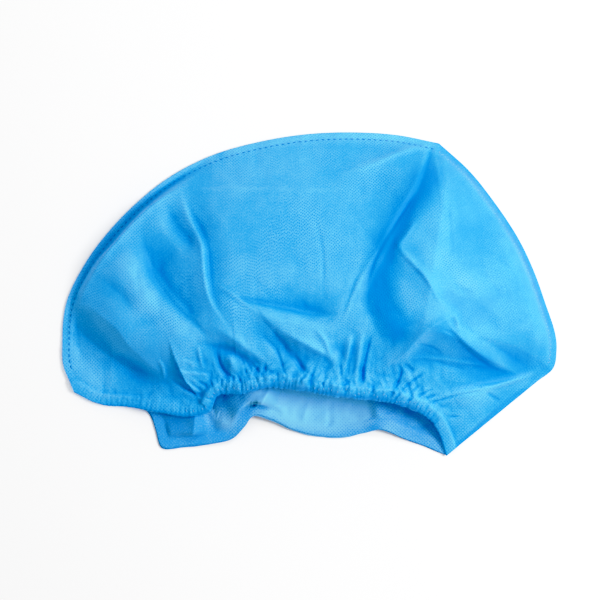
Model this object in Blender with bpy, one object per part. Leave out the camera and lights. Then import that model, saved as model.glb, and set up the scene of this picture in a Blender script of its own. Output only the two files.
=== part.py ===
"""A disposable surgical cap of thin bonded cloth, lying on its side on a flat floor.

Lengths are metres. +X runs along the opening, +Y from the opening to the crown and +Z up.
Two D-shaped side panels are sewn along the crown with the seam allowance left standing.
The near panel is puffed up over the far one, so the head's hollow lies between them, and
a gathered casing hems each side of the opening. Every piece is a thin wall over a plan
outline: its height is a function of the plan, so the solids stay clear of each other.
"""

import math
from typing import NamedTuple

import bpy
import numpy as np
from mathutils.geometry import delaunay_2d_cdt

# Overall size
LENGTH = 0.300
WIDTH = 0.1965
LOFT = 0.040

# Cloth
WALL = 0.0012
SEAM_GAP = 0.0003
SEAM_ALLOWANCE = 0.0055
SEAM_SETTLE = 0.010
SEAM_SHOULDER = 0.095
TURN_SHOULDER = 0.050

# Hem casing and its gathers
CASING_WIDTH = 0.0068
CASING_THICKNESS = 0.0016
CASING_DROOP = 0.0030
GATHER_PITCH = 0.0060
GATHER_DEPTH = 0.0008
PLEAT_PITCH = 0.0125
PLEAT_RISE = 0.0022
PLEAT_REACH = 0.020
PLEAT_VARIES = 0.35
HEM_DRAW = 0.042

# Share of a fold's length over which it fades at each end
FOLD_END = 0.35

# A sloping wall is this much thicker upright, at most
STEEP_WALL = 1.7

# A casing is thinner at its two edges, by this share of its thickness
CASING_EDGE = 0.7

# Points of the facets keep this share of their spacing from an outline or a fold
POINT_CLEARANCE = 0.62

# Spacing of the facets
PANEL_STEP = 0.0088
HEM_STEP = 0.0052
FLOOR_STEP = 0.0125
CASING_STEP = GATHER_PITCH / 4

# Heights that one piece takes from another
FLANGE_SEAT = WALL + SEAM_GAP
CASING_SEAT = CASING_THICKNESS + GATHER_DEPTH + SEAM_GAP
HALF_CASING = (CASING_THICKNESS + GATHER_DEPTH) / 2


class Station(NamedTuple):
    """A point of an outline, as shares of LENGTH and WIDTH from the lower left."""

    u: float
    v: float


class HemSection(NamedTuple):
    """A section of a hem: its outer edge, the way its width points and its lift.

    lean is in degrees from +Y towards +X, and lift is a share of LOFT.
    """

    u: float
    v: float
    lean: float
    lift: float


class Fold(NamedTuple):
    """A ridge, or a valley where rise is negative, along a path of stations.

    rise is a share of LOFT; left and right are the widths of its flanks as shares of
    LENGTH, seen along the path; round is 0 for a sharp crease and 1 for a soft one.
    """

    name: str
    path: tuple
    rise: float
    left: float
    right: float
    round: float


# The crown seam from the left end of the opening to the peak of the crown
CROWN = (
    Station(0.003, 0.275),
    Station(0.000, 0.350),
    Station(0.007, 0.467),
    Station(0.048, 0.600),
    Station(0.100, 0.705),
    Station(0.150, 0.782),
    Station(0.215, 0.860),
    Station(0.300, 0.927),
    Station(0.400, 0.971),
    Station(0.500, 0.995),
    Station(0.585, 1.000),
    Station(0.675, 0.992),
    Station(0.762, 0.966),
)

# The crown seam from the peak down to the back corner, where the cloth turns under
BACK = (
    Station(0.762, 0.966),
    Station(0.825, 0.878),
    Station(0.875, 0.782),
    Station(0.925, 0.665),
    Station(0.975, 0.482),
    Station(1.000, 0.330),
    Station(0.994, 0.274),
    Station(0.960, 0.230),
)

NEAR_HEM = (
    HemSection(0.024, 0.197, 0, 0.00),
    HemSection(0.069, 0.162, 20, 0.01),
    HemSection(0.128, 0.153, 6, 0.06),
    HemSection(0.200, 0.134, 0, 0.15),
    HemSection(0.262, 0.124, -16, 0.22),
    HemSection(0.298, 0.140, -34, 0.28),
    HemSection(0.316, 0.188, -30, 0.38),
    HemSection(0.362, 0.194, -4, 0.50),
    HemSection(0.424, 0.215, 0, 0.62),
    HemSection(0.486, 0.205, 2, 0.68),
    HemSection(0.560, 0.187, 5, 0.68),
    HemSection(0.637, 0.174, 10, 0.60),
    HemSection(0.676, 0.162, 20, 0.54),
    HemSection(0.715, 0.140, 33, 0.42),
    HemSection(0.745, 0.108, 46, 0.26),
    HemSection(0.763, 0.062, 56, 0.10),
    HemSection(0.776, 0.000, 50, 0.00),
)

FAR_HEM = (
    HemSection(0.030, 0.207, 0, 0.00),
    HemSection(0.095, 0.176, 10, 0.00),
    HemSection(0.150, 0.160, 20, 0.00),
    HemSection(0.176, 0.130, 60, 0.00),
    HemSection(0.188, 0.080, 72, 0.00),
    HemSection(0.201, 0.025, 34, 0.00),
    HemSection(0.245, 0.028, 2, 0.00),
    HemSection(0.300, 0.036, -10, 0.02),
    HemSection(0.348, 0.057, -28, 0.06),
    HemSection(0.369, 0.090, -58, 0.12),
    HemSection(0.386, 0.124, -14, 0.15),
    HemSection(0.420, 0.112, 16, 0.10),
    HemSection(0.465, 0.080, 18, 0.04),
    HemSection(0.511, 0.062, 6, 0.01),
    HemSection(0.560, 0.057, 0, 0.00),
    HemSection(0.612, 0.070, -8, 0.03),
    HemSection(0.643, 0.081, 0, 0.09),
    HemSection(0.686, 0.055, 18, 0.03),
    HemSection(0.730, 0.031, 20, 0.00),
    HemSection(0.7745, 0.003, 50, 0.00),
)

# Each path runs up the panel, or to the right where it lies across it
NEAR_FOLDS = (
    Fold("crown crest", ((0.590, 0.500), (0.622, 0.610), (0.655, 0.705), (0.688, 0.800),
                         (0.715, 0.880), (0.745, 0.990)),
         0.06, 0.110, 0.070, 0.5),
    Fold("middle ridge", ((0.545, 0.370), (0.585, 0.500), (0.630, 0.620), (0.670, 0.760)),
         0.16, 0.100, 0.050, 0.2),
    Fold("crown line", ((0.598, 0.230), (0.606, 0.285), (0.620, 0.345), (0.629, 0.405),
                        (0.615, 0.473), (0.6245, 0.544), (0.649, 0.615), (0.683, 0.723),
                        (0.718, 0.813), (0.732, 0.869), (0.750, 0.980)),
         -0.24, 0.110, 0.090, 0.5),
    Fold("corner of the hollow", ((0.800, 0.420), (0.756, 0.480), (0.724, 0.560), (0.680, 0.640),
                                  (0.700, 0.690), (0.735, 0.760)),
         0.06, 0.034, 0.034, 0.1),
    Fold("crest past the hollow", ((0.690, 0.300), (0.715, 0.430), (0.735, 0.550), (0.752, 0.650),
                                   (0.766, 0.760), (0.775, 0.880), (0.765, 1.020)),
         0.26, 0.110, 0.140, 0.6),
    Fold("right lobe", ((0.945, 0.240), (0.945, 0.360), (0.925, 0.480), (0.890, 0.600)),
         0.24, 0.150, 0.070, 0.8),
    Fold("left puff", ((0.190, 0.400), (0.165, 0.520), (0.140, 0.660)),
         0.16, 0.080, 0.060, 1.0),
    Fold("valley beside the puff", ((0.310, 0.350), (0.264, 0.420), (0.234, 0.485), (0.207, 0.555),
                                    (0.185, 0.620), (0.178, 0.680), (0.180, 0.750)),
         -0.11, 0.050, 0.075, 0.5),
    Fold("left ridge", ((0.330, 0.345), (0.313, 0.410), (0.300, 0.480), (0.290, 0.560),
                        (0.286, 0.640), (0.268, 0.725), (0.252, 0.820)),
         0.12, 0.060, 0.020, 0.3),
    Fold("dent under the ridge", ((0.282, 0.620), (0.258, 0.665), (0.230, 0.715), (0.208, 0.790)),
         -0.05, 0.034, 0.034, 0.6),
    Fold("dip beside the left ridge", ((0.338, 0.490), (0.322, 0.620), (0.306, 0.780)),
         -0.06, 0.014, 0.050, 0.6),
    Fold("left hollow", ((-0.040, 0.480), (0.020, 0.410), (0.070, 0.343), (0.120, 0.287),
                         (0.230, 0.225)),
         -0.10, 0.080, 0.100, 0.4),
    Fold("edge above the left hollow", ((0.010, 0.510), (0.050, 0.450), (0.100, 0.398),
                                        (0.150, 0.345), (0.210, 0.300)),
         0.06, 0.050, 0.040, 0.5),
    Fold("front crease", ((0.320, 0.505), (0.404, 0.473), (0.481, 0.451), (0.570, 0.432)),
         -0.15, 0.075, 0.032, 0.1),
    Fold("front ridge", ((0.340, 0.530), (0.384, 0.476), (0.424, 0.411), (0.452, 0.380),
                         (0.505, 0.337), (0.570, 0.290)),
         0.10, 0.070, 0.036, 0.3),
    Fold("front valley", ((0.345, 0.505), (0.392, 0.445), (0.436, 0.370), (0.466, 0.300),
                          (0.490, 0.245), (0.515, 0.195)),
         -0.07, 0.034, 0.034, 0.2),
    Fold("patch edge", ((0.300, 0.410), (0.349, 0.363), (0.380, 0.328), (0.410, 0.297),
                        (0.446, 0.244)),
         0.08, 0.040, 0.026, 0.2),
    Fold("valley below the patch", ((0.260, 0.365), (0.335, 0.325), (0.385, 0.280), (0.420, 0.240),
                                    (0.440, 0.205)),
         -0.08, 0.032, 0.030, 0.4),
    Fold("first puff", ((0.370, 0.215), (0.350, 0.270), (0.335, 0.330)),
         0.12, 0.016, 0.022, 0.8),
    Fold("third puff", ((0.544, 0.205), (0.548, 0.275), (0.554, 0.340)),
         0.05, 0.014, 0.014, 0.5),
    Fold("fourth puff", ((0.566, 0.205), (0.572, 0.285), (0.584, 0.390)),
         0.06, 0.014, 0.012, 0.4),
    Fold("fifth puff", ((0.590, 0.205), (0.596, 0.300), (0.606, 0.400)),
         0.07, 0.014, 0.012, 0.4),
    Fold("lower edge of the hollow", ((0.630, 0.250), (0.653, 0.281), (0.693, 0.328), (0.720, 0.377),
                                      (0.770, 0.427), (0.810, 0.460)),
         0.13, 0.045, 0.032, 0.1),
    Fold("back ridge", ((0.700, 0.430), (0.745, 0.402), (0.795, 0.362), (0.850, 0.312),
                        (0.950, 0.230)),
         0.15, 0.075, 0.055, 0.2),
    Fold("foot of the back ridge", ((0.650, 0.310), (0.744, 0.309), (0.825, 0.284), (0.940, 0.245)),
         -0.045, 0.040, 0.045, 0.4),
    Fold("corner crease", ((0.700, 0.160), (0.795, 0.190), (0.866, 0.213), (0.990, 0.270)),
         0.07, 0.020, 0.040, 0.2),
    Fold("shoulder beside the seam", ((0.020, 0.460), (0.100, 0.645), (0.150, 0.735), (0.240, 0.850)),
         0.07, 0.010, 0.060, 0.3),
    Fold("crossing crease", ((0.200, 0.815), (0.400, 0.820), (0.620, 0.815)),
         0.05, 0.060, 0.200, 0.5),
    Fold("crown crease", ((0.540, 0.860), (0.640, 0.908), (0.683, 0.937), (0.760, 0.965)),
         0.05, 0.040, 0.050, 0.1),
)

FAR_FOLDS = (
    Fold("fold at the notch", ((0.362, 0.060), (0.370, 0.105), (0.384, 0.139), (0.402, 0.164),
                               (0.418, 0.205), (0.428, 0.265)),
         0.30, 0.100, 0.028, 0.5),
    Fold("flap crest", ((0.273, 0.160), (0.269, 0.110), (0.262, 0.030)),
         0.22, 0.030, 0.085, 0.4),
    Fold("pleat at the hem", ((0.643, 0.095), (0.634, 0.150), (0.628, 0.210)),
         0.08, 0.016, 0.030, 0.2),
    Fold("left flap crease", ((0.300, 0.050), (0.285, 0.100), (0.262, 0.160)),
         0.06, 0.030, 0.020, 0.2),
)


def place(rows):
    """The rows with their shares u and v turned into metres from the middle of the plan."""
    rows = np.array(rows, float)
    rows[:, 0] = (rows[:, 0] - 0.5) * LENGTH
    rows[:, 1] = (rows[:, 1] - 0.5) * WIDTH
    return rows


def smooth_curve(rows, step):
    """A cubic curve through the rows, with a point about every step along it."""
    chord = np.hypot(*np.diff(rows[:, :2], axis=0).T)
    knots = np.concatenate([[0.0], np.cumsum(chord)])
    slopes = np.gradient(rows, knots, axis=0)
    at = np.linspace(0.0, knots[-1], max(3, round(knots[-1] / step) + 1))
    i = np.clip(np.searchsorted(knots, at, side="right") - 1, 0, len(knots) - 2)
    span = (knots[i + 1] - knots[i])[:, None]
    t = (at - knots[i])[:, None] / span
    start = (1 + 2 * t) * (1 - t) ** 2 * rows[i] + t * (1 - t) ** 2 * span * slopes[i]
    end = t**2 * (3 - 2 * t) * rows[i + 1] - t**2 * (1 - t) * span * slopes[i + 1]
    return start + end


def nearest(points, path):
    """For each point, the closest place on the path: distance, side, run and path row there.

    side is +1 left of the path and -1 right of it; run is the length along the path.
    """
    start = path[:-1]
    step = np.diff(path, axis=0)
    length = np.hypot(step[:, 0], step[:, 1])
    offset = points[:, None, :2] - start[None, :, :2]
    t = np.clip((offset * step[:, :2]).sum(axis=2) / length**2, 0.0, 1.0)
    gap = offset - t[:, :, None] * step[:, :2]
    distance = np.hypot(gap[:, :, 0], gap[:, :, 1])
    best = distance.argmin(axis=1)
    every = np.arange(len(points))
    t = t[every, best]
    way = step[best]
    gap = offset[every, best]
    side = np.sign(way[:, 0] * gap[:, 1] - way[:, 1] * gap[:, 0])
    run = np.concatenate([[0.0], np.cumsum(length)])[best] + t * length[best]
    return distance[every, best], side, run, start[best] + t[:, None] * way


def ramp(x):
    """0 below 0, 1 above 1 and a smooth step between."""
    x = np.clip(x, 0.0, 1.0)
    return x * x * (3.0 - 2.0 * x)


def dome(x):
    """0 at 0, rising steeply and levelling off to 1 at 1."""
    return 1.0 - (1.0 - np.clip(x, 0.0, 1.0)) ** 1.6


def hem_edges(sections, first_to, last_to):
    """The outer and inner edge of a casing, as rows of x, y and lift in metres.

    The width points along each section's lean. At the two ends it points along the
    outline instead, towards first_to and last_to, so the casing ends flush with it.
    """
    rows = place(sections)
    curve = smooth_curve(rows, CASING_STEP)
    lean = np.radians(curve[:, 2])
    way = np.column_stack([np.sin(lean), np.cos(lean)])
    run = np.linspace(0.0, 1.0, len(curve))[:, None]
    first = first_to - curve[0, :2]
    last = last_to - curve[-1, :2]
    end_share = 3 * CASING_WIDTH / (len(curve) * CASING_STEP)
    way += ramp(1.0 - run / end_share) * (first / math.hypot(*first) - way)
    way += ramp(1.0 - (1.0 - run) / end_share) * (last / math.hypot(*last) - way)
    way /= np.hypot(way[:, 0], way[:, 1])[:, None]
    lift = np.maximum(curve[:, 3:], 0.0) * LOFT
    outer = np.hstack([curve[:, :2], lift])
    inner = np.hstack([curve[:, :2] + CASING_WIDTH * way, lift])
    panel = np.hstack([curve[:, :2] + (CASING_WIDTH + SEAM_GAP) * way, lift])
    return outer, inner, panel


def fold_height(points, folds):
    """The sum of the folds' heights: each flank falls from the path to nothing at its width."""
    total = np.zeros(len(points))
    for fold in folds:
        path = smooth_curve(place(fold.path), PANEL_STEP / 2)
        distance, side, run, _ = nearest(points, path)
        length = np.hypot(*np.diff(path, axis=0).T).sum()
        width = np.where(side > 0, fold.left, fold.right) * LENGTH
        t = np.clip(distance / width, 0.0, 1.0)
        ends = ramp(run / (FOLD_END * length)) * ramp((length - run) / (FOLD_END * length))
        total += fold.rise * LOFT * ends * (1.0 - t) ** 2 * (1.0 + 2.0 * fold.round * t)
    return total


class Panel(NamedTuple):
    """The plan of a side panel and the curves that its height is worked out from."""

    seam: np.ndarray
    turn: np.ndarray
    hem: np.ndarray


def panel_plan(sections):
    """The panel between the crown seam, the turned edge at the back and its hem."""
    crown = place(CROWN)
    back = smooth_curve(place(BACK), PANEL_STEP)
    _, _, hem = hem_edges(sections, crown[0], back[-1])
    front = smooth_curve(np.vstack([hem[:1, :2], crown]), PANEL_STEP)
    count = round(math.hypot(*(back[-1] - hem[-1, :2])) / PANEL_STEP)
    turn = back[-1] + np.linspace(0.0, 1.0, count + 1)[:, None] * (hem[-1, :2] - back[-1])
    return Panel(np.vstack([front, back[1:]]), turn, hem)


def near_height(points, panel):
    """Underside of the near panel: puffed up from its seam, drawn down to its hem."""
    from_seam = nearest(points, panel.seam)[0] - SEAM_ALLOWANCE
    from_turn = nearest(points, panel.turn)[0]
    from_hem, _, run, at_hem = nearest(points, panel.hem)
    draw = ramp(from_hem / HEM_DRAW)
    body = LOFT * dome(from_seam / SEAM_SHOULDER) * dome(from_turn / TURN_SHOULDER)
    hem = at_hem[:, 2] + CASING_SEAT + HALF_CASING - WALL / 2 - FLANGE_SEAT
    folds = fold_height(points, NEAR_FOLDS) * ramp(from_seam / SEAM_SETTLE) * ramp(from_hem / PLEAT_REACH)
    reach = PLEAT_REACH * (1.0 + PLEAT_VARIES * np.sin(run / (PLEAT_VARIES * PLEAT_PITCH)))
    fade = ramp(from_hem / HEM_STEP) * ramp(1.0 - from_hem / reach) * ramp(from_seam / SEAM_SETTLE)
    pleats = PLEAT_RISE * np.cos(2 * math.pi * run / PLEAT_PITCH) * fade
    pleats *= ramp(at_hem[:, 2] / CASING_WIDTH)
    loose = np.maximum(body * draw + folds + pleats + hem * (1.0 - draw), hem * (1.0 - draw))
    return FLANGE_SEAT + loose


def far_height(points, panel):
    """Underside of the far panel: flat on the floor but for the folds near its hem."""
    from_seam = nearest(points, panel.seam)[0] - SEAM_ALLOWANCE
    from_hem, _, _, at_hem = nearest(points, panel.hem)
    hem = at_hem[:, 2] + HALF_CASING - WALL / 2
    rise = hem * ramp(1.0 - from_hem / HEM_DRAW)
    rise += fold_height(points, FAR_FOLDS)
    return np.maximum(rise, 0.0) * ramp(from_seam / SEAM_ALLOWANCE)


def inside(points, loop):
    """Whether each point lies inside the closed loop."""
    a = loop[None, :, :2]
    b = np.roll(loop, -1, axis=0)[None, :, :2]
    x = points[:, None, 0]
    y = points[:, None, 1]
    spans = (a[:, :, 1] > y) != (b[:, :, 1] > y)
    rise = np.where(spans, b[:, :, 1] - a[:, :, 1], 1.0)
    crossing = a[:, :, 0] + (y - a[:, :, 1]) * (b[:, :, 0] - a[:, :, 0]) / rise
    return (spans & (x < crossing)).sum(axis=1) % 2 == 1


def lattice(step):
    """Points of a triangular lattice over the whole plan."""
    row_step = step * math.sqrt(3) / 2
    x = np.arange(-LENGTH / 2, LENGTH / 2 + step, step)
    y = np.arange(-WIDTH / 2, WIDTH / 2 + row_step, row_step)
    shift = (np.arange(len(y)) % 2) * step / 2
    return np.column_stack([(x[None, :] + shift[:, None]).ravel(), np.repeat(y, len(x))])


def chain(points, first):
    """Edges that join the points in order, numbered from first."""
    return [(first + i, first + i + 1) for i in range(len(points) - 1)]


def panel_triangles(panel, folds, body_step):
    """Plan points and triangles that follow the outline, the stitch line and the folds."""
    hem = panel.hem[::-2, :2]
    loop = np.vstack([panel.seam, panel.turn[1:-1], hem[:-1]])
    way = np.gradient(panel.seam, axis=0)
    way /= np.hypot(way[:, 0], way[:, 1])[:, None]
    stitch = panel.seam + SEAM_ALLOWANCE * np.column_stack([way[:, 1], -way[:, 0]])
    paths = [stitch] + [smooth_curve(place(fold.path), body_step) for fold in folds]
    points = [loop]
    edges = chain(loop, 0) + [(len(loop) - 1, 0)]
    for path in paths:
        clear = nearest(path, np.vstack([loop, loop[:1]]))[0] > POINT_CLEARANCE * SEAM_ALLOWANCE
        path = path[inside(path, loop) & clear]
        edges += chain(path, sum(map(len, points)))
        points.append(path)
    fixed = np.vstack(points)
    for step, near, far in ((body_step, PLEAT_REACH, LENGTH), (HEM_STEP, 0.0, PLEAT_REACH)):
        grid = lattice(step)
        grid = grid[inside(grid, loop)]
        from_hem = nearest(grid, panel.hem)[0]
        from_fixed = np.hypot(*(grid[:, None] - fixed[None]).transpose(2, 0, 1)).min(axis=1)
        points.append(grid[(from_hem > near) & (from_hem <= far) & (from_fixed > POINT_CLEARANCE * step)])
    made = delaunay_2d_cdt([tuple(p) for p in np.vstack(points)], edges, [], 0, 1e-6)
    plan = np.array([tuple(p) for p in made[0]])
    triangles = np.array(made[2])
    kept = inside(plan[triangles].mean(axis=1), loop)
    return plan, triangles[kept]


def upward(plan, triangles):
    """The triangles, each turned so that its corners run anticlockwise from above."""
    a, b, c = (plan[triangles[:, i]] for i in range(3))
    area = (b[:, 0] - a[:, 0]) * (c[:, 1] - a[:, 1]) - (b[:, 1] - a[:, 1]) * (c[:, 0] - a[:, 0])
    return np.where(area[:, None] > 0, triangles, triangles[:, ::-1])


def cloth_material(name, colour):
    """Soft bonded cloth of one colour."""
    material = bpy.data.materials.new(name)
    material.use_nodes = True
    shader = material.node_tree.nodes["Principled BSDF"]
    shader.inputs["Base Color"].default_value = (*colour, 1.0)
    shader.inputs["Roughness"].default_value = 0.6
    shader.inputs["Metallic"].default_value = 0.0
    return material


def add_wall(name, plan, triangles, under, over, colour):
    """A closed wall over the plan, between the heights under and over."""
    triangles = upward(plan, triangles)
    count = len(plan)
    ends = np.concatenate([triangles[:, [0, 1]], triangles[:, [1, 2]], triangles[:, [2, 0]]])
    keys = {tuple(edge) for edge in ends.tolist()}
    rim = [(a, b) for a, b in keys if (b, a) not in keys]
    points = np.vstack([np.column_stack([plan, under]), np.column_stack([plan, over])])
    faces = (triangles + count).tolist() + triangles[:, ::-1].tolist()
    faces += [(a, b, b + count, a + count) for a, b in sorted(rim)]
    mesh = bpy.data.meshes.new(name)
    mesh.from_pydata(points.tolist(), [], faces)
    mesh.validate()
    mesh.materials.append(cloth_material(name, colour))
    mesh.shade_smooth()
    body = bpy.data.objects.new(name, mesh)
    bpy.context.scene.collection.objects.link(body)
    return body


def add_panel(name, panel, folds, step, height, colour):
    """A side panel: its wall keeps its thickness where it slopes, up to a steep limit."""
    plan, triangles = panel_triangles(panel, folds, step)
    used = np.unique(triangles)
    number = np.zeros(len(plan), int)
    number[used] = np.arange(len(used))
    plan = plan[used]
    under = height(plan, panel)
    nudge = PANEL_STEP / 8
    along_x = height(plan + (nudge, 0.0), panel) - height(plan - (nudge, 0.0), panel)
    along_y = height(plan + (0.0, nudge), panel) - height(plan - (0.0, nudge), panel)
    slope = np.hypot(along_x, along_y) / (2 * nudge)
    over = under + WALL * np.minimum(np.hypot(1.0, slope), STEEP_WALL)
    return add_wall(name, plan, number[triangles], under, over, colour)


def add_casing(name, sections, seat, colour):
    """A hem casing: a padded ribbon with ruffles across it, drooping where it is lifted."""
    outer, inner, _ = hem_edges(sections, place(CROWN)[0], place(BACK)[-1])
    across = np.array([0.0, 0.5, 1.0])
    plan = outer[:, None, :2] + across[:, None] * (inner - outer)[:, None, :2]
    run = np.arange(len(outer)) * CASING_STEP
    wave = 0.5 + 0.5 * np.cos(2 * math.pi * run / GATHER_PITCH)
    lift = outer[:, 2]
    droop = CASING_DROOP * np.clip(2.0 * lift / LOFT, 0.0, 1.0)
    under = (seat + lift + GATHER_DEPTH * wave)[:, None] - droop[:, None] * (1.0 - across) ** 2
    over = under + CASING_THICKNESS * (CASING_EDGE + (1.0 - CASING_EDGE) * np.sin(math.pi * across))
    columns = len(across)
    corner = (np.arange(len(outer) - 1)[:, None] * columns + np.arange(columns - 1)).ravel()
    triangles = np.vstack(
        [
            np.column_stack([corner, corner + columns, corner + 1]),
            np.column_stack([corner + 1, corner + columns, corner + columns + 1]),
        ]
    )
    return add_wall(name, plan.reshape(-1, 2), triangles, under.ravel(), over.ravel(), colour)


def clear_scene():
    for old in list(bpy.data.objects):
        bpy.data.objects.remove(old, do_unlink=True)


def main():
    clear_scene()
    near = panel_plan(NEAR_HEM)
    far = panel_plan(FAR_HEM)
    add_panel("near_side_panel", near, NEAR_FOLDS, PANEL_STEP, near_height, (0.041, 0.440, 0.855))
    add_panel("far_side_panel", far, FAR_FOLDS, FLOOR_STEP, far_height, (0.070, 0.470, 0.840))
    add_casing("near_hem_casing", NEAR_HEM, CASING_SEAT, (0.060, 0.500, 0.900))
    add_casing("far_hem_casing", FAR_HEM, 0.0, (0.050, 0.440, 0.860))


main()
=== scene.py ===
"""Looks of a disposable surgical cap of thin bonded cloth, lying on its side on a floor.

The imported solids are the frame. Each side panel is made again here as thin cloth over the
same plan, with the same seams and hems. The main folds began as those of the solids. Thirteen
of the near side's have been changed since, so its top stands 3 mm from its solid's on average,
and 17 mm at most, on the right lobe's outer slope. The finer creases, gathers, seam puckers and
stitches are only here. Lengths are metres; +X runs along the opening, +Y from the opening to
the crown and +Z up.
"""

import math
from functools import partial
from typing import Callable, NamedTuple

import bmesh
import bpy
import numpy as np
from bpy.props import FloatProperty, FloatVectorProperty, PointerProperty
from mathutils import Matrix, Vector


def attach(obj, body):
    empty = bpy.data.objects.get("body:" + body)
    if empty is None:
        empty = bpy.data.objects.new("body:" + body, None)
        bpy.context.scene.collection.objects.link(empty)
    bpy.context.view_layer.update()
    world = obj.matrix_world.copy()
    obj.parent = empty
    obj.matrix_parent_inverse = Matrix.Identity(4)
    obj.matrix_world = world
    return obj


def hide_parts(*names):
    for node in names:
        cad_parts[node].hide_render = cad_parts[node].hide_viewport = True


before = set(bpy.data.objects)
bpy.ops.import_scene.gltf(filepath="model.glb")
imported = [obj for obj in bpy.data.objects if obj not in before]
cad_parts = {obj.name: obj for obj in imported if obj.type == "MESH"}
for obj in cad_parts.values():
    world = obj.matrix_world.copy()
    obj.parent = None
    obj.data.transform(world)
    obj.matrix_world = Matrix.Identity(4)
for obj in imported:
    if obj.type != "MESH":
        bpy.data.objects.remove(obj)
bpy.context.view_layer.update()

bl_info = {
    "name": "Surgical cap cloth",
    "version": (1, 0, 0),
    "blender": (4, 5, 0),
    "location": "3D View > Sidebar > Cap",
    "description": "Dresses a surgical cap's solids in creased, gathered and stitched cloth",
    "category": "Mesh",
}

# Overall size, as in the solids
LENGTH = 0.300
WIDTH = 0.1965
LOFT = 0.040

# Seam and hem sizes, as in the solids
SEAM_GAP = 0.0003
SEAM_ALLOWANCE = 0.0055
SEAM_SHOULDER = 0.095
TURN_SHOULDER = 0.050
CASING_WIDTH = 0.0068
CASING_DROOP = 0.0030
HEM_DRAW = 0.042
HEM_REACH = 0.020
FOLD_END = 0.35

# The seam and the hem, finer than the solids have them. Left of NARROW_FROM, a share of
# LENGTH, the cloth rises from half the allowance, and elsewhere close to the seam. The
# turned edge at the back keeps the share TURN_KEEPS of the height, and creases fade at the hem
SEAM_SETTLE = 0.006
PLAIN_ALLOWANCE = 0.0004
NARROW_FROM = 0.34
NARROW_FADE = 0.12
TURN_FADE = 0.004
TURN_KEEPS = 0.35
CREASE_FADE = 0.0025
HEM_BAND = 0.0062

# Stitches: their line's distance from the seam, and how they lie. The seam's line leaves out
# the first and last few of its points, which bend round its two ends
STITCH_LINE = 0.0042
STITCH_FROM = 4
STITCH_TO = -8
STITCH_LIFT = 0.0003
STITCH_ARCH = 0.0001
STITCH_END = 0.002

# Heights of the middle of the cloth
FAR_SEAT = 0.0004
NEAR_SEAT = 0.0012
FAR_HEM_SEAT = 0.0009
NEAR_HEM_SEAT = 0.0022
HEM_LIFTS_OFF = 0.0018

# The cloth reaches TUCK over its casing and rises to it over LAP. It stands OVER_CASING above
# the casing's upper side, and swells a little beside it. Its pleats die out over PLEATS_END
# halves of the casing's width
TUCK = 0.0056
LAP = 0.0020
OVER_CASING = 0.00045
PLEATS_END = 1.5
OVER_HEM = 0.0005
OVER_FAR_HEM = 0.00035

# A hem's tube: points round it, powers that make its section fuller than an ellipse, its
# least half thickness, and how far its beads stand out sideways, on it and on the cloth
TUBE_POINTS = 28
TUBE_ACROSS = 0.75
TUBE_UP = 0.9
TUBE_LEAST = 0.0002
BEAD_OUT = 0.0007
CLOTH_BEAD_OUT = 0.0012

# Points of the cloths' grids, along the hem and away from it, and how much coarser the near
# cloth's lower layer is. On a slope cloth is thicker upright, by at most 1 / STEEPEST
NEAR_GRID = (478, 187)
FAR_GRID = (420, 76)
NEAR_COARSE = 3
STEEPEST = 0.45

# The finish: noise scales, and what each thing adds to the tone; ridges add painted light and
# the valleys between the hem's beads painted shade
CLOUD_SCALE = 110.0
PATCH_SCALE = 28.0
FIBRE_SCALE = 1100.0
STRAND_SCALE = 2600.0
RIDGE_PAINTED_LIGHT = 0.14
CLOUD_TONE = 0.26
PATCH_TONE = 0.15
FIBRE_TONE = 1.2
DOT_TONE = 0.38
VALLEY_SHADE = 0.6

# The stage: half the floor's side, the sky's strength, and the camera's lens and place
FLOOR_HALF = 2.5
FLOOR_CORNERS = ((-1, -1), (1, -1), (1, 1), (-1, 1))
SKY = 0.44
LENS_MM = 200.0
SENSOR_MM = 36.0
SEEN_ACROSS = 0.3644
SEEN_MIDDLE = (-0.0058, -0.0035)

# The near side's pieces, which the glow passes through
THIN_PIECES = (
    "near_side_cloth", "near_hem_cloth", "crown_stitches", "back_stitches", "hem_stitches")

# The camera's response: light received, and how bright it shows. WHITE_LEVEL shows white
WHITE_LEVEL = 0.92
RESPONSE = ((0.064, 0.003), (0.13, 0.098), (0.21, 0.23), (0.43, 0.59), (0.47, 0.67), (0.85, 0.97))

# Spacing of points along outlines, hems and strokes, and of the raster for the folds' depth
PATH_STEP = 0.0012
HEM_STEP = 0.0004
STROKE_STEP = 0.002
RASTER = 0.0008

# A scale of the folds' depth, which paints shade into the folds' colour, is its reach in raster
# steps and its weight. The widest fades out towards the hem, over DEPTH_OFF_HEM
DEPTH_SCALES = ((2, 1.0), (5, 1.0), (11, 1.0), (24, 2.5))
DEPTH_OFF_HEM = 0.03

# How many points are measured at once, and how many random values a wave and hills have
CHUNK = 6000
WAVE = 1024
HILLS = 256


class Station(NamedTuple):
    """A point of an outline, as shares of LENGTH and WIDTH from the lower left."""

    u: float
    v: float


class HemSection(NamedTuple):
    """A section of a hem: its outer edge, the way its width points and its lift.

    lean is in degrees from +Y towards +X, lift is a share of LOFT, and ruffle says how
    strongly the elastic gathers it, from 0 to 1.
    """

    u: float
    v: float
    lean: float
    lift: float
    ruffle: float


class Fold(NamedTuple):
    """A ridge, or a valley where rise is negative, along a path of shares u and v.

    rise is a share of LOFT; left and right are the widths of its flanks as shares of
    LENGTH, seen along the path; round is 0 for a sharp crease and 1 for a soft one.
    """

    name: str
    rise: float
    left: float
    right: float
    round: float
    path: tuple


class Stroke(NamedTuple):
    """A soft stroke of tone, painted shade below 0 and painted light above it, and of plainer dots.

    It fades out over reach, a share of LENGTH, from a path of shares u and v.
    """

    name: str
    reach: float
    painted_light_and_tone: float
    dots: float
    path: tuple


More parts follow.
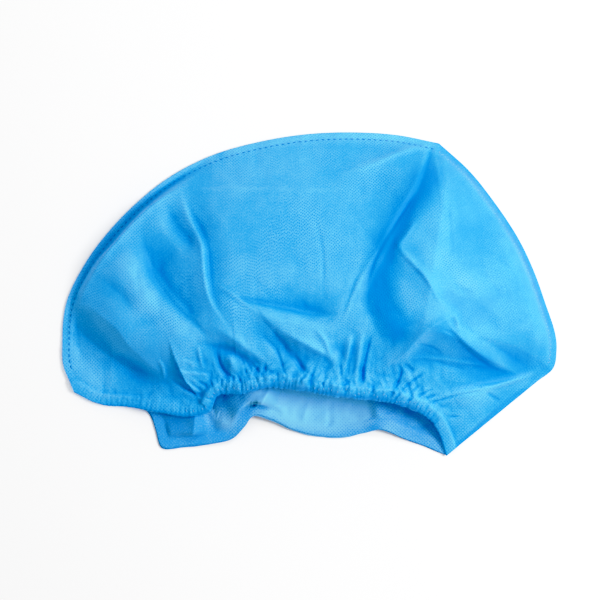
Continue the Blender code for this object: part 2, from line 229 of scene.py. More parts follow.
class Casing(NamedTuple):
    """How a hem's tube is made.

    seat gives its middle's height over the floor from the lift there; droop is how far its
    free edge hangs where it is lifted; depth and pitch are the height and length of its beads.
    """

    seat: Callable
    droop: float
    half_thickness: float
    depth: float
    pitch: float


class GatherSize(NamedTuple):
    """One size of the hem's gathers.

    height is in gather depths, pitches its length along the hem, away its length away from
    the hem and reach how far it dies out there, both in metres.
    """

    height: float
    pitches: float
    away: float
    reach: float
    seed: int


class Facets(NamedTuple):
    """One size of the faint crumpled facets, which are a mottle folded at its mean level.

    Its hills are long and wide in metres, on a plan turned by ahead and aside, and start
    and seed choose the mottle. They stand height high all over, and drawn more where the
    hem draws the cloth together, dying out over reach from it.
    """

    ahead: float
    aside: float
    long: float
    wide: float
    start: int
    seed: int
    height: float
    drawn: float
    reach: float


class Lamp(NamedTuple):
    """A round lamp that points at the cap."""

    name: str
    place: tuple
    size: float
    watts: float


# The sizes of the gathers over a hem, and of the facets all over the two sides
GATHERS = (
    GatherSize(1.2, 0.55, 0.006, 0.0035, 14),
    GatherSize(2.1, 1.3, 0.013, 0.0075, 15),
    GatherSize(1.6, 3.1, 0.024, 0.016, 16),
)

NEAR_FACETS = (
    Facets(0.8, 0.6, 0.014, 0.020, 40, 23, 0.0005, 0.0012, 0.018),
    Facets(1.0, 0.0, 0.0058, 0.0072, 60, 24, 0.00014, 0.0010, 0.018),
    Facets(0.8, 0.6, 0.0030, 0.0036, 80, 25, 0.0, 0.0013, 0.009),
)

FAR_FACETS = (
    Facets(1.0, 0.5, 0.013, 0.010, 40, 61, 0.0009, 0.0, 1.0),
    Facets(1.0, 0.0, 0.0055, 0.0070, 60, 62, 0.00035, 0.0, 1.0),
)

# The key lights the cap from the right. The glow lights the opening through the thin near side
KEY = Lamp("key", (0.90, 0.05, 1.05), 0.50, 9.5)
GLOW = Lamp("glow", (0.40, 0.80, 1.05), 0.50, 3.5)

# The outlines of the plan and the hems, as in the solids
CROWN = (
    Station(0.003, 0.275),
    Station(0.000, 0.350),
    Station(0.007, 0.467),
    Station(0.048, 0.600),
    Station(0.100, 0.705),
    Station(0.150, 0.782),
    Station(0.215, 0.860),
    Station(0.300, 0.927),
    Station(0.400, 0.971),
    Station(0.500, 0.995),
    Station(0.585, 1.000),
    Station(0.675, 0.992),
    Station(0.762, 0.966),
)

BACK = (
    Station(0.762, 0.966),
    Station(0.825, 0.878),
    Station(0.875, 0.782),
    Station(0.925, 0.665),
    Station(0.975, 0.482),
    Station(1.000, 0.330),
    Station(0.994, 0.274),
    Station(0.960, 0.230),
)

NEAR_HEM = (
    HemSection(0.024, 0.197, 0, 0.00, 0.30),
    HemSection(0.069, 0.162, 20, 0.01, 0.40),
    HemSection(0.128, 0.153, 6, 0.06, 0.45),
    HemSection(0.200, 0.134, 0, 0.15, 0.50),
    HemSection(0.262, 0.124, -16, 0.22, 0.6),
    HemSection(0.298, 0.140, -34, 0.28, 0.8),
    HemSection(0.316, 0.188, -30, 0.38, 0.9),
    HemSection(0.362, 0.194, -4, 0.50, 1.0),
    HemSection(0.424, 0.215, 0, 0.62, 1.0),
    HemSection(0.486, 0.205, 2, 0.68, 1.0),
    HemSection(0.560, 0.187, 5, 0.68, 1.0),
    HemSection(0.637, 0.174, 10, 0.60, 1.0),
    HemSection(0.676, 0.162, 20, 0.54, 1.0),
    HemSection(0.715, 0.140, 33, 0.42, 1.0),
    HemSection(0.745, 0.108, 46, 0.26, 0.8),
    HemSection(0.763, 0.062, 56, 0.10, 0.1),
    HemSection(0.776, 0.000, 50, 0.00, 0.0),
)

FAR_HEM = (
    HemSection(0.030, 0.207, 0, 0.00, 0.04),
    HemSection(0.095, 0.176, 10, 0.00, 0.06),
    HemSection(0.150, 0.160, 20, 0.00, 0.06),
    HemSection(0.176, 0.130, 60, 0.00, 0.04),
    HemSection(0.188, 0.080, 72, 0.00, 0.04),
    HemSection(0.201, 0.025, 34, 0.00, 0.06),
    HemSection(0.245, 0.028, 2, 0.00, 0.08),
    HemSection(0.300, 0.036, -10, 0.02, 0.08),
    HemSection(0.348, 0.057, -28, 0.06, 0.06),
    HemSection(0.369, 0.090, -58, 0.12, 0.04),
    HemSection(0.386, 0.124, -14, 0.15, 0.04),
    HemSection(0.420, 0.112, 16, 0.10, 0.06),
    HemSection(0.465, 0.080, 18, 0.04, 0.08),
    HemSection(0.511, 0.062, 6, 0.01, 0.08),
    HemSection(0.560, 0.057, 0, 0.00, 0.08),
    HemSection(0.612, 0.070, -8, 0.03, 0.08),
    HemSection(0.643, 0.081, 0, 0.09, 0.06),
    HemSection(0.686, 0.055, 18, 0.03, 0.08),
    HemSection(0.730, 0.031, 20, 0.00, 0.08),
    HemSection(0.7745, 0.003, 50, 0.00, 0.04),
)

# Painted shade and painted light where the cloth looks deeper or paler than its shape alone would
# make it, and where it is more plainly dotted; the pressed patches' paler tone is their own
NEAR_STROKES = (
    Stroke("hollow", 0.048, -0.66, 0.0, (
        (0.733, 0.85), (0.712, 0.8), (0.69, 0.754), (0.675, 0.711), (0.658, 0.668), (0.645, 0.606),
        (0.643, 0.529), (0.65, 0.457), (0.668, 0.4))),
    Stroke("foot of the hollow", 0.045, -0.15, 0.0, ((0.67, 0.42), (0.69, 0.36))),
    Stroke("lobe", 0.2, -0.2, 0.0, ((0.8, 0.82), (0.86, 0.64), (0.9, 0.48), (0.93, 0.33))),
    Stroke("under the back ridge", 0.03, -0.34, 0.0, ((0.757, 0.4), (0.79, 0.355), (0.85, 0.296))),
    Stroke("pressed patch on the lobe", 0.03, 0.12, 1.0, ((0.764, 0.6), (0.825, 0.519))),
    Stroke("pressed patch on the puff", 0.038, 0.14, 0.5, ((0.1265, 0.6), (0.177, 0.482))),
    Stroke("pressed patch below the puff", 0.036, 0.08, 0.6, ((0.165, 0.46), (0.238, 0.41))),
    Stroke("dotted patch", 0.04, -0.12, 1.0, ((0.33, 0.484), (0.404, 0.374))),
    Stroke("dotted plateau", 0.14, 0.0, 0.6, ((0.44, 0.64), (0.54, 0.76), (0.62, 0.86))),
    Stroke("plain by the crown seam", 0.07, 0.14, 0.0, ((0.33, 0.87), (0.48, 0.91))),
    Stroke("low left", 0.06, 0.24, 0.0, ((0.02, 0.31), (0.08, 0.225))),
    Stroke("left hollow", 0.05, 0.14, 0.0, ((0.02, 0.41), (0.12, 0.29))),
    Stroke("corner", 0.05, 0.16, 0.0, ((0.845, 0.2), (0.925, 0.225))),
    Stroke("left seam", 0.022, 0.26, 0.0, (
        (0.012, 0.46), (0.048, 0.6), (0.1, 0.705), (0.15, 0.782), (0.215, 0.86), (0.3, 0.927))),
    Stroke("crown seam", 0.024, 0.28, 0.0, (
        (0.34, 0.945), (0.46, 0.98), (0.55, 0.99), (0.66, 0.985), (0.745, 0.965))),
)

FAR_STROKES = (
    Stroke("doubled part of the flap", 0.05, -0.06, 0.0, ((0.208, 0.127), (0.278, 0.096))),
    Stroke("corner of the flap", 0.035, -0.14, 0.0, ((0.201, 0.074), (0.2095, 0.037))),
    Stroke("triangle on the flap", 0.032, 0.35, 0.2, ((0.307, 0.13), (0.335, 0.105))),
    Stroke("standing wall", 0.05, 0.06, 0.0, ((0.349, 0.158), (0.404, 0.179))),
    Stroke("far hem", 0.034, -0.4, 0.0, ((0.4, 0.11), (0.45, 0.07), (0.54, 0.05), (0.62, 0.07))),
    Stroke("pale middle", 0.06, 0.22, 0.5, ((0.45, 0.158), (0.531, 0.136))),
    Stroke("pleat", 0.026, -0.3, 0.0, ((0.6407, 0.167), (0.6366, 0.087))),
    Stroke("right of the pleat", 0.07, -0.16, 0.0, ((0.673, 0.136), (0.748, 0.074))),
)

# The main folds. Each path runs up the panel, or to the right across it. They began as the
# solids' own, and thirteen have been given other rises, widths or paths since
NEAR_FOLDS = (
    Fold("crown crest", -0.02, 0.11, 0.04, 0.5, (
        (0.59, 0.5), (0.622, 0.61), (0.655, 0.705), (0.688, 0.8), (0.715, 0.88), (0.745, 0.99))),
    Fold("middle ridge", 0.03, 0.1, 0.03, 0.3, (
        (0.545, 0.37), (0.585, 0.5), (0.63, 0.62), (0.67, 0.76))),
    Fold("crown line", -0.03, 0.022, 0.055, 0.2, (
        (0.598, 0.23), (0.606, 0.285), (0.62, 0.345), (0.629, 0.405), (0.615, 0.473),
        (0.6245, 0.544), (0.649, 0.615), (0.683, 0.723), (0.718, 0.813), (0.732, 0.869),
        (0.75, 0.98))),
    Fold("corner of the hollow", 0.05, 0.034, 0.03, 0.1, (
        (0.8, 0.42), (0.756, 0.48), (0.724, 0.56), (0.68, 0.64), (0.7, 0.69), (0.735, 0.76))),
    Fold("crest past the hollow", 0.39, 0.145, 0.24, 0.6, (
        (0.705, 0.28), (0.728, 0.43), (0.742, 0.55), (0.752, 0.65), (0.764, 0.76), (0.774, 0.88),
        (0.765, 1.02))),
    Fold("right lobe", 0.3, 0.18, 0.07, 0.8, (
        (0.94, 0.22), (0.952, 0.34), (0.935, 0.48), (0.895, 0.62), (0.85, 0.74))),
    Fold("left puff", 0.1, 0.08, 0.075, 1.0, ((0.17, 0.4), (0.14, 0.52), (0.12, 0.66))),
    Fold("valley beside the puff", -0.12, 0.05, 0.08, 0.5, (
        (0.32, 0.345), (0.28, 0.4), (0.252, 0.46), (0.222, 0.51), (0.197, 0.56), (0.175, 0.62),
        (0.167, 0.68), (0.17, 0.75))),
    Fold("left ridge", 0.055, 0.04, 0.007, 0.0, (
        (0.35, 0.37), (0.322, 0.43), (0.303, 0.476), (0.292, 0.54), (0.287, 0.606), (0.284, 0.649),
        (0.272, 0.692), (0.257, 0.736), (0.247, 0.779), (0.234, 0.84))),
    Fold("dent under the ridge", -0.08, 0.03, 0.05, 0.6, (
        (0.282, 0.62), (0.258, 0.665), (0.23, 0.715), (0.208, 0.79))),
    Fold("dip beside the left ridge", -0.055, 0.014, 0.05, 0.5, (
        (0.334, 0.43), (0.315, 0.476), (0.304, 0.54), (0.299, 0.606), (0.296, 0.649),
        (0.284, 0.692), (0.269, 0.736), (0.259, 0.779), (0.248, 0.84))),
    Fold("left hollow", -0.1, 0.08, 0.1, 0.4, (
        (-0.04, 0.48), (0.02, 0.41), (0.07, 0.343), (0.12, 0.287), (0.23, 0.225))),
    Fold("edge above the left hollow", 0.14, 0.07, 0.045, 0.5, (
        (0.02, 0.5), (0.07, 0.448), (0.118, 0.389), (0.137, 0.346), (0.167, 0.303), (0.205, 0.26),
        (0.23, 0.235))),
    Fold("front crease", -0.15, 0.075, 0.032, 0.1, (
        (0.32, 0.505), (0.404, 0.473), (0.481, 0.451), (0.57, 0.432))),
    Fold("front ridge", 0.1, 0.07, 0.036, 0.3, (
        (0.34, 0.53), (0.384, 0.476), (0.424, 0.411), (0.452, 0.38), (0.505, 0.337), (0.57, 0.29))),
    Fold("front valley", -0.07, 0.034, 0.034, 0.2, (
        (0.345, 0.505), (0.392, 0.445), (0.436, 0.37), (0.466, 0.3), (0.49, 0.245),
        (0.515, 0.195))),
    Fold("patch edge", 0.08, 0.04, 0.026, 0.2, (
        (0.3, 0.41), (0.349, 0.363), (0.38, 0.328), (0.41, 0.297), (0.446, 0.244))),
    Fold("valley below the patch", -0.08, 0.032, 0.03, 0.4, (
        (0.26, 0.365), (0.335, 0.325), (0.385, 0.28), (0.42, 0.24), (0.44, 0.205))),
    Fold("first puff", 0.12, 0.016, 0.022, 0.8, ((0.37, 0.215), (0.35, 0.27), (0.335, 0.33))),
    Fold("third puff", 0.05, 0.014, 0.014, 0.5, ((0.544, 0.205), (0.548, 0.275), (0.554, 0.34))),
    Fold("fourth puff", 0.06, 0.014, 0.012, 0.4, ((0.566, 0.205), (0.572, 0.285), (0.584, 0.39))),
    Fold("fifth puff", 0.07, 0.014, 0.012, 0.4, ((0.59, 0.205), (0.596, 0.3), (0.606, 0.4))),
    Fold("lower edge of the hollow", 0.13, 0.045, 0.032, 0.1, (
        (0.63, 0.25), (0.653, 0.281), (0.693, 0.328), (0.72, 0.377), (0.77, 0.427), (0.81, 0.46))),
    Fold("back ridge", 0.15, 0.075, 0.055, 0.2, (
        (0.7, 0.43), (0.745, 0.402), (0.795, 0.362), (0.85, 0.312), (0.95, 0.23))),
    Fold("foot of the back ridge", -0.045, 0.04, 0.045, 0.4, (
        (0.65, 0.31), (0.744, 0.309), (0.825, 0.284), (0.94, 0.245))),
    Fold("corner crease", 0.07, 0.02, 0.04, 0.2, (
        (0.7, 0.16), (0.795, 0.19), (0.866, 0.213), (0.99, 0.27))),
    Fold("shoulder beside the seam", 0.2, 0.016, 0.11, 0.4, (
        (-0.005, 0.38), (0.03, 0.5), (0.06, 0.575), (0.11, 0.66), (0.16, 0.745), (0.24, 0.845),
        (0.3, 0.89))),
    Fold("crossing crease", 0.05, 0.06, 0.2, 0.5, ((0.2, 0.815), (0.4, 0.82), (0.62, 0.815))),
    Fold("crown crease", 0.05, 0.04, 0.05, 0.1, (
        (0.54, 0.86), (0.64, 0.908), (0.683, 0.937), (0.76, 0.965))),
)

# Finer creases, which the solids leave out
NEAR_CREASES = (
    Fold("press line across", 0.012, 0.008, 0.008, 0.0, (
        (0.225, 0.822), (0.32, 0.824), (0.43, 0.82), (0.59, 0.814))),
    Fold("press line to the crown", 0.03, 0.016, 0.012, 0.0, (
        (0.59, 0.885), (0.64, 0.908), (0.683, 0.937), (0.724, 0.952), (0.755, 0.96))),
    Fold("standing press line", -0.012, 0.006, 0.009, 0.0, (
        (0.508, 0.76), (0.525, 0.64), (0.528, 0.49))),
    Fold("line down from the tip", 0.02, 0.008, 0.008, 0.0, (
        (0.75, 0.96), (0.758, 0.86), (0.764, 0.76))),
    Fold("back press line", -0.01, 0.006, 0.008, 0.0, ((0.776, 0.82), (0.781, 0.72), (0.785, 0.6))),
    Fold("top of the crown line", -0.065, 0.012, 0.036, 0.1, (
        (0.652, 0.65), (0.675, 0.723), (0.695, 0.773), (0.712, 0.813), (0.728, 0.869),
        (0.742, 0.93), (0.752, 1.02))),
    Fold("stripe beside the crown", -0.02, 0.006, 0.014, 0.1, (
        (0.61, 0.6), (0.592, 0.545), (0.574, 0.47), (0.556, 0.4))),
    Fold("edge at the notch of the hollow", 0.04, 0.016, 0.008, 0.0, (
        (0.668, 0.668), (0.676, 0.645), (0.7, 0.6), (0.724, 0.56), (0.746, 0.505), (0.752, 0.48))),
    Fold("edge above the notch", 0.035, 0.008, 0.014, 0.0, (
        (0.716, 0.74), (0.696, 0.69), (0.676, 0.648), (0.668, 0.625))),
    Fold("upper side of the small triangle", 0.035, 0.006, 0.012, 0.0, (
        (0.776, 0.448), (0.79, 0.425), (0.797, 0.392))),
    Fold("front of the standing strip", 0.014, 0.008, 0.016, 0.0, (
        (0.744, 0.946), (0.699, 0.807), (0.653, 0.683), (0.606, 0.559), (0.564, 0.436))),
    Fold("left edge of the hollow", -0.035, 0.007, 0.032, 0.0, (
        (0.732, 0.878), (0.7095, 0.822), (0.687, 0.76), (0.663, 0.699), (0.639, 0.637),
        (0.6225, 0.575), (0.6144, 0.513), (0.6144, 0.464))),
    Fold("edge of the puff", -0.03, 0.01, 0.05, 0.1, (
        (0.181, 0.65), (0.183, 0.575), (0.2176, 0.4915), (0.264, 0.42), (0.313, 0.3586))),
    Fold("groove beside the left seam", -0.02, 0.006, 0.006, 0.3, (
        (0.01, 0.44), (0.022, 0.508), (0.042, 0.575), (0.066, 0.636), (0.093, 0.68), (0.126, 0.733),
        (0.15, 0.77), (0.184, 0.817), (0.24, 0.872), (0.3, 0.912))),
    Fold("pale line beside the left seam", 0.05, 0.009, 0.024, 0.0, (
        (0.026, 0.48), (0.052, 0.56), (0.076, 0.609), (0.1, 0.643), (0.133, 0.699), (0.157, 0.739),
        (0.19, 0.783), (0.238, 0.825), (0.28, 0.85))),
    Fold("groove on the puff", -0.022, 0.022, 0.03, 0.4, (
        (0.07, 0.56), (0.106, 0.52), (0.127, 0.492), (0.151, 0.454), (0.165, 0.425))),
    Fold("second groove on the puff", -0.012, 0.012, 0.014, 0.4, (
        (0.152, 0.6), (0.156, 0.54), (0.165, 0.48))),
    Fold("pale line over the patch", 0.035, 0.008, 0.01, 0.0, (
        (0.306, 0.537), (0.331, 0.513), (0.353, 0.492), (0.372, 0.47), (0.392, 0.445),
        (0.412, 0.41))),
    Fold("arched line in the patch", -0.033, 0.007, 0.006, 0.0, (
        (0.4, 0.38), (0.42, 0.352), (0.434, 0.328), (0.442, 0.297), (0.448, 0.266),
        (0.455, 0.235))),
    Fold("dark mouth of the front valley", -0.065, 0.012, 0.012, 0.1, (
        (0.466, 0.32), (0.481, 0.281), (0.497, 0.25), (0.512, 0.215))),
    Fold("line under the front ridge", 0.04, 0.02, 0.012, 0.0, (
        (0.44, 0.392), (0.481, 0.358), (0.505, 0.337), (0.541, 0.303), (0.552, 0.27))),
    Fold("crest by the third puff", 0.04, 0.01, 0.01, 0.0, (
        (0.505, 0.4), (0.525, 0.37), (0.536, 0.335), (0.545, 0.29))),
    Fold("press line over the hem", 0.029, 0.008, 0.008, 0.0, (
        (0.222, 0.268), (0.245, 0.26), (0.268, 0.257), (0.312, 0.249))),
    Fold("first upright press", 0.03, 0.007, 0.007, 0.0, (
        (0.194, 0.305), (0.204, 0.283), (0.209, 0.235))),
    Fold("second upright press", 0.035, 0.007, 0.007, 0.0, (
        (0.277, 0.352), (0.281, 0.305), (0.29, 0.258))),
    Fold("bowed press", 0.022, 0.007, 0.007, 0.0, (
        (0.24, 0.272), (0.25, 0.296), (0.262, 0.29), (0.27, 0.262))),
    Fold("dark wedge by the first puff", -0.072, 0.01, 0.014, 0.2, (
        (0.312, 0.345), (0.318, 0.3), (0.33, 0.262), (0.352, 0.235), (0.375, 0.222))),
    Fold("first upright pocket", -0.065, 0.007, 0.01, 0.1, (
        (0.386, 0.215), (0.389, 0.25), (0.398, 0.285))),
    Fold("second upright pocket", -0.065, 0.008, 0.008, 0.1, (
        (0.405, 0.22), (0.408, 0.255), (0.412, 0.29))),
    Fold("third upright pocket", -0.052, 0.007, 0.007, 0.1, (
        (0.424, 0.222), (0.424, 0.245), (0.42, 0.272))),
    Fold("fourth upright pocket", -0.046, 0.006, 0.006, 0.1, (
        (0.44, 0.222), (0.441, 0.24), (0.438, 0.262))),
    Fold("first diagonal in the bunch", -0.046, 0.01, 0.008, 0.1, (
        (0.218, 0.245), (0.24, 0.222), (0.262, 0.202), (0.289, 0.186), (0.315, 0.176))),
    Fold("second diagonal in the bunch", -0.039, 0.008, 0.008, 0.1, (
        (0.242, 0.25), (0.262, 0.228), (0.28, 0.208), (0.306, 0.19))),
    Fold("third diagonal in the bunch", -0.033, 0.008, 0.008, 0.1, (
        (0.27, 0.24), (0.29, 0.222), (0.315, 0.212))),
    Fold("dark line by the third puff", -0.033, 0.005, 0.006, 0.0, (
        (0.56, 0.3), (0.562, 0.265), (0.567, 0.21))),
    Fold("dark line by the fourth puff", -0.03, 0.006, 0.008, 0.0, (
        (0.588, 0.372), (0.582, 0.325), (0.577, 0.285), (0.578, 0.225))),
    Fold("dark line by the fifth puff", -0.045, 0.006, 0.014, 0.0, (
        (0.626, 0.395), (0.615, 0.335), (0.606, 0.275), (0.6, 0.225))),
    Fold("pocket by the fifth puff", -0.045, 0.01, 0.01, 0.2, (
        (0.604, 0.29), (0.604, 0.245), (0.602, 0.2))),
    Fold("crooked line after the puffs", -0.046, 0.006, 0.007, 0.0, (
        (0.668, 0.298), (0.682, 0.27), (0.678, 0.241), (0.669, 0.21), (0.67, 0.18))),
    Fold("blot after the puffs", -0.039, 0.01, 0.012, 0.3, (
        (0.686, 0.292), (0.698, 0.275), (0.712, 0.262))),
    Fold("first slant after the puffs", -0.039, 0.005, 0.007, 0.0, (
        (0.672, 0.196), (0.694, 0.222), (0.712, 0.244), (0.734, 0.268))),
    Fold("second slant after the puffs", -0.033, 0.005, 0.006, 0.0, (
        (0.694, 0.19), (0.708, 0.208), (0.724, 0.232))),
    Fold("third slant after the puffs", -0.029, 0.005, 0.006, 0.0, (
        (0.706, 0.18), (0.726, 0.196), (0.752, 0.214))),
    Fold("fourth slant after the puffs", -0.029, 0.005, 0.006, 0.0, (
        (0.712, 0.168), (0.732, 0.18), (0.76, 0.196))),
    Fold("dark line to the corner", -0.033, 0.006, 0.008, 0.0, (
        (0.712, 0.158), (0.748, 0.17), (0.784, 0.186), (0.835, 0.202), (0.88, 0.218))),
    Fold("pale line to the corner", 0.029, 0.008, 0.01, 0.0, (
        (0.78, 0.192), (0.835, 0.208), (0.896, 0.229), (0.926, 0.243), (0.965, 0.262))),
    Fold("low line by the tip", -0.029, 0.006, 0.006, 0.0, (
        (0.756, 0.138), (0.772, 0.126), (0.806, 0.124))),
    Fold("lower line by the tip", -0.029, 0.006, 0.006, 0.0, (
        (0.752, 0.122), (0.764, 0.108), (0.78, 0.098))),
    Fold("short crease by the corner", -0.02, 0.008, 0.008, 0.0, (
        (0.85, 0.205), (0.866, 0.188), (0.89, 0.164))),
    Fold("pale edge under the wedge", 0.022, 0.012, 0.008, 0.0, (
        (0.676, 0.305), (0.744, 0.306), (0.825, 0.286), (0.9, 0.266))),
    Fold("bright edge of the back ridge", 0.07, 0.034, 0.012, 0.2, (
        (0.762, 0.436), (0.782, 0.396), (0.813, 0.349), (0.857, 0.3), (0.906, 0.263))),
    Fold("dark side of the back ridge", -0.02, 0.01, 0.034, 0.0, (
        (0.764, 0.414), (0.797, 0.359), (0.841, 0.297), (0.885, 0.258))),
    Fold("dark line under the wedge", -0.018, 0.006, 0.01, 0.0, (
        (0.742, 0.3), (0.774, 0.284), (0.826, 0.266))),
    Fold("first stroke in the wedge", -0.016, 0.007, 0.009, 0.0, (
        (0.705, 0.352), (0.728, 0.346), (0.752, 0.332), (0.768, 0.316))),
    Fold("side of the small triangle", -0.022, 0.008, 0.012, 0.1, (
        (0.782, 0.452), (0.786, 0.415), (0.792, 0.372))),
    Fold("base of the small triangle", -0.02, 0.008, 0.01, 0.0, (
        (0.738, 0.402), (0.762, 0.392), (0.792, 0.376))),
    Fold("upper edge of the bright band", -0.035, 0.06, 0.024, 0.1, (
        (0.8, 0.42), (0.829, 0.38), (0.886, 0.328), (0.922, 0.291), (0.955, 0.268))),
    Fold("short crease on the lobe", -0.01, 0.01, 0.014, 0.1, (
        (0.78, 0.54), (0.806, 0.515), (0.83, 0.5))),
)

# The main folds of the far panel near its hem, as in the solids
FAR_FOLDS = (
    Fold("fold at the notch", 0.3, 0.1, 0.028, 0.5, (
        (0.362, 0.06), (0.37, 0.105), (0.384, 0.139), (0.402, 0.164), (0.418, 0.205),
        (0.428, 0.265))),
    Fold("flap crest", 0.22, 0.03, 0.085, 0.4, ((0.273, 0.16), (0.269, 0.11), (0.262, 0.03))),
    Fold("pleat at the hem", 0.08, 0.016, 0.03, 0.2, (
        (0.643, 0.095), (0.634, 0.15), (0.628, 0.21))),
    Fold("left flap crease", 0.06, 0.03, 0.02, 0.2, ((0.3, 0.05), (0.285, 0.1), (0.262, 0.16))),
)

# Finer creases of the far panel
FAR_CREASES = (
    Fold("pale line from the notch", 0.04, 0.008, 0.02, 0.0, (
        (0.418, 0.2), (0.428, 0.17), (0.446, 0.138), (0.453, 0.1))),
    Fold("standing crease", -0.03, 0.008, 0.012, 0.1, ((0.535, 0.06), (0.54, 0.11), (0.538, 0.18))),
    Fold("second standing crease", 0.016, 0.01, 0.012, 0.2, (
        (0.48, 0.07), (0.488, 0.12), (0.5, 0.18))),
    Fold("flap edge", 0.08, 0.012, 0.04, 0.1, ((0.286, 0.18), (0.303, 0.139), (0.345, 0.08))),
    Fold("flap line", 0.024, 0.01, 0.014, 0.0, ((0.205, 0.095), (0.25, 0.11), (0.305, 0.14))),
    Fold("lower flap line", -0.02, 0.01, 0.012, 0.1, (
        (0.215, 0.055), (0.26, 0.078), (0.34, 0.075))),
)

def place(rows):
    """The rows with their shares u and v turned into metres from the middle of the plan."""
    rows = np.array(rows, float)
    rows[:, 0] = (rows[:, 0] - 0.5) * LENGTH
    rows[:, 1] = (rows[:, 1] - 0.5) * WIDTH
    return rows


def run_of(path):
    """Length along a path at each of its points."""
    return np.concatenate([[0.0], np.cumsum(np.hypot(*np.diff(path[:, :2], axis=0).T))])


def smooth_curve(rows, step):
    """A cubic curve through the rows, with a point about every step along it."""
    knots = run_of(rows)
    slopes = np.gradient(rows, knots, axis=0)
    at = np.linspace(0.0, knots[-1], max(3, round(knots[-1] / step) + 1))
    i = np.clip(np.searchsorted(knots, at, side="right") - 1, 0, len(knots) - 2)
    span = (knots[i + 1] - knots[i])[:, None]
    t = (at - knots[i])[:, None] / span
    start = (1 + 2 * t) * (1 - t) ** 2 * rows[i] + t * (1 - t) ** 2 * span * slopes[i]
    end = t**2 * (3 - 2 * t) * rows[i + 1] - t**2 * (1 - t) * span * slopes[i + 1]
    return start + end


def nearest(points, path):
    """For each point, the closest place on the path: distance, side, run and path row there.

    side is +1 left of the path and -1 right of it; run is the length along the path.
    """
    start = path[:-1]
    step = np.diff(path, axis=0)
    length = np.hypot(step[:, 0], step[:, 1])
    runs = run_of(path)
    found = []
    for first in range(0, len(points), CHUNK):
        offset = points[first : first + CHUNK, None, :2] - start[None, :, :2]
        t = np.clip((offset * step[:, :2]).sum(axis=2) / length**2, 0.0, 1.0)
        gap = offset - t[:, :, None] * step[:, :2]
        distance = np.hypot(gap[:, :, 0], gap[:, :, 1])
        best = distance.argmin(axis=1)
        every = np.arange(len(best))
        t = t[every, best]
        way = step[best]
        gap = offset[every, best]
        side = np.sign(way[:, 0] * gap[:, 1] - way[:, 1] * gap[:, 0])
        rows = start[best] + t[:, None] * way
        found.append((distance[every, best], side, runs[best] + t * length[best], rows))
    return tuple(np.concatenate(part) for part in zip(*found))


def ramp(x):
    """0 below 0, 1 above 1 and a smooth step between."""
    x = np.clip(x, 0.0, 1.0)
    return x * x * (3.0 - 2.0 * x)


def dome(x):
    """0 at 0, rising steeply and levelling off to 1 at 1."""
    return 1.0 - (1.0 - np.clip(x, 0.0, 1.0)) ** 1.6


def wander(run, knot, seed):
    """A smooth seeded random wave from -1 to 1, with a new value about every knot metres."""
    values = np.random.default_rng(seed).uniform(-1.0, 1.0, WAVE)
    at = run / knot
    i = np.floor(at).astype(int)
    t = ramp(at - i)
    return values[i % WAVE] * (1.0 - t) + values[(i + 1) % WAVE] * t


def blend(values, i, j, s, t):
    """Values between four neighbours of a wrapped grid: s of the way on from i, t from j."""
    i, j, next_i, next_j = (k % n for k, n in zip((i, j, i + 1, j + 1), 2 * values.shape))
    low = values[i, j] * (1.0 - s) + values[next_i, j] * s
    high = values[i, next_j] * (1.0 - s) + values[next_i, next_j] * s
    return low * (1.0 - t) + high * t


def mottle(across, along, seed):
    """Smooth seeded random hills from -1 to 1 over two coordinates, one value to a unit square."""
    values = np.random.default_rng(seed).uniform(-1.0, 1.0, (HILLS, HILLS))
    i, j = np.floor(across).astype(int), np.floor(along).astype(int)
    return blend(values, i, j, ramp(across - i), ramp(along - j))


def bead(phase):
    """Rounded humps from 0 to 1 with sharp valleys between, one for each turn of the phase."""
    return np.abs(np.sin(phase / 2.0)) ** 0.8


def gather_phase(run, pitch):
    """The phase of the hem's gathers: their pitch wanders by about a third either way."""
    shift = 0.45 * wander(run, 2.3 * pitch, 3) + 0.2 * wander(run, pitch, 4)
    return 2 * math.pi * (run / pitch + shift)


def hem_edge(sections, first_to, last_to):
    """A casing's outer edge, in rows of x, y, lift in metres and ruffle, and where it points.

    Its width points along each section's lean. At the two ends it points along the
    outline instead, towards first_to and last_to, so the casing ends flush with it.
    """
    rows = place(sections)
    curve = smooth_curve(rows, HEM_STEP)
    lean = np.radians(curve[:, 2])
    way = np.column_stack([np.sin(lean), np.cos(lean)])
    run = np.linspace(0.0, 1.0, len(curve))[:, None]
    first = first_to - curve[0, :2]
    last = last_to - curve[-1, :2]
    end_share = 3 * CASING_WIDTH / (len(curve) * HEM_STEP)
    way += ramp(1.0 - run / end_share) * (first / math.hypot(*first) - way)
    way += ramp(1.0 - (1.0 - run) / end_share) * (last / math.hypot(*last) - way)
    way /= np.hypot(way[:, 0], way[:, 1])[:, None]
    lift = np.maximum(curve[:, 3:4], 0.0) * LOFT
    ruffle = np.clip(curve[:, 4:5], 0.0, 1.0)
    return np.hstack([curve[:, :2], lift, ruffle]), way


def stroked(points, strokes):
    """The painted light and shade and the dots of each plan point: the strokes' own, fading out to
    their reach.
    """
    painted_light_and_tone = np.zeros(len(points))
    dots = np.zeros(len(points))
    for stroke in strokes:
        path = smooth_curve(place(stroke.path), STROKE_STEP)
        share = ramp(1.0 - nearest(points, path)[0] / (stroke.reach * LENGTH))
        painted_light_and_tone += stroke.painted_light_and_tone * share
        dots += stroke.dots * share
    return painted_light_and_tone, dots


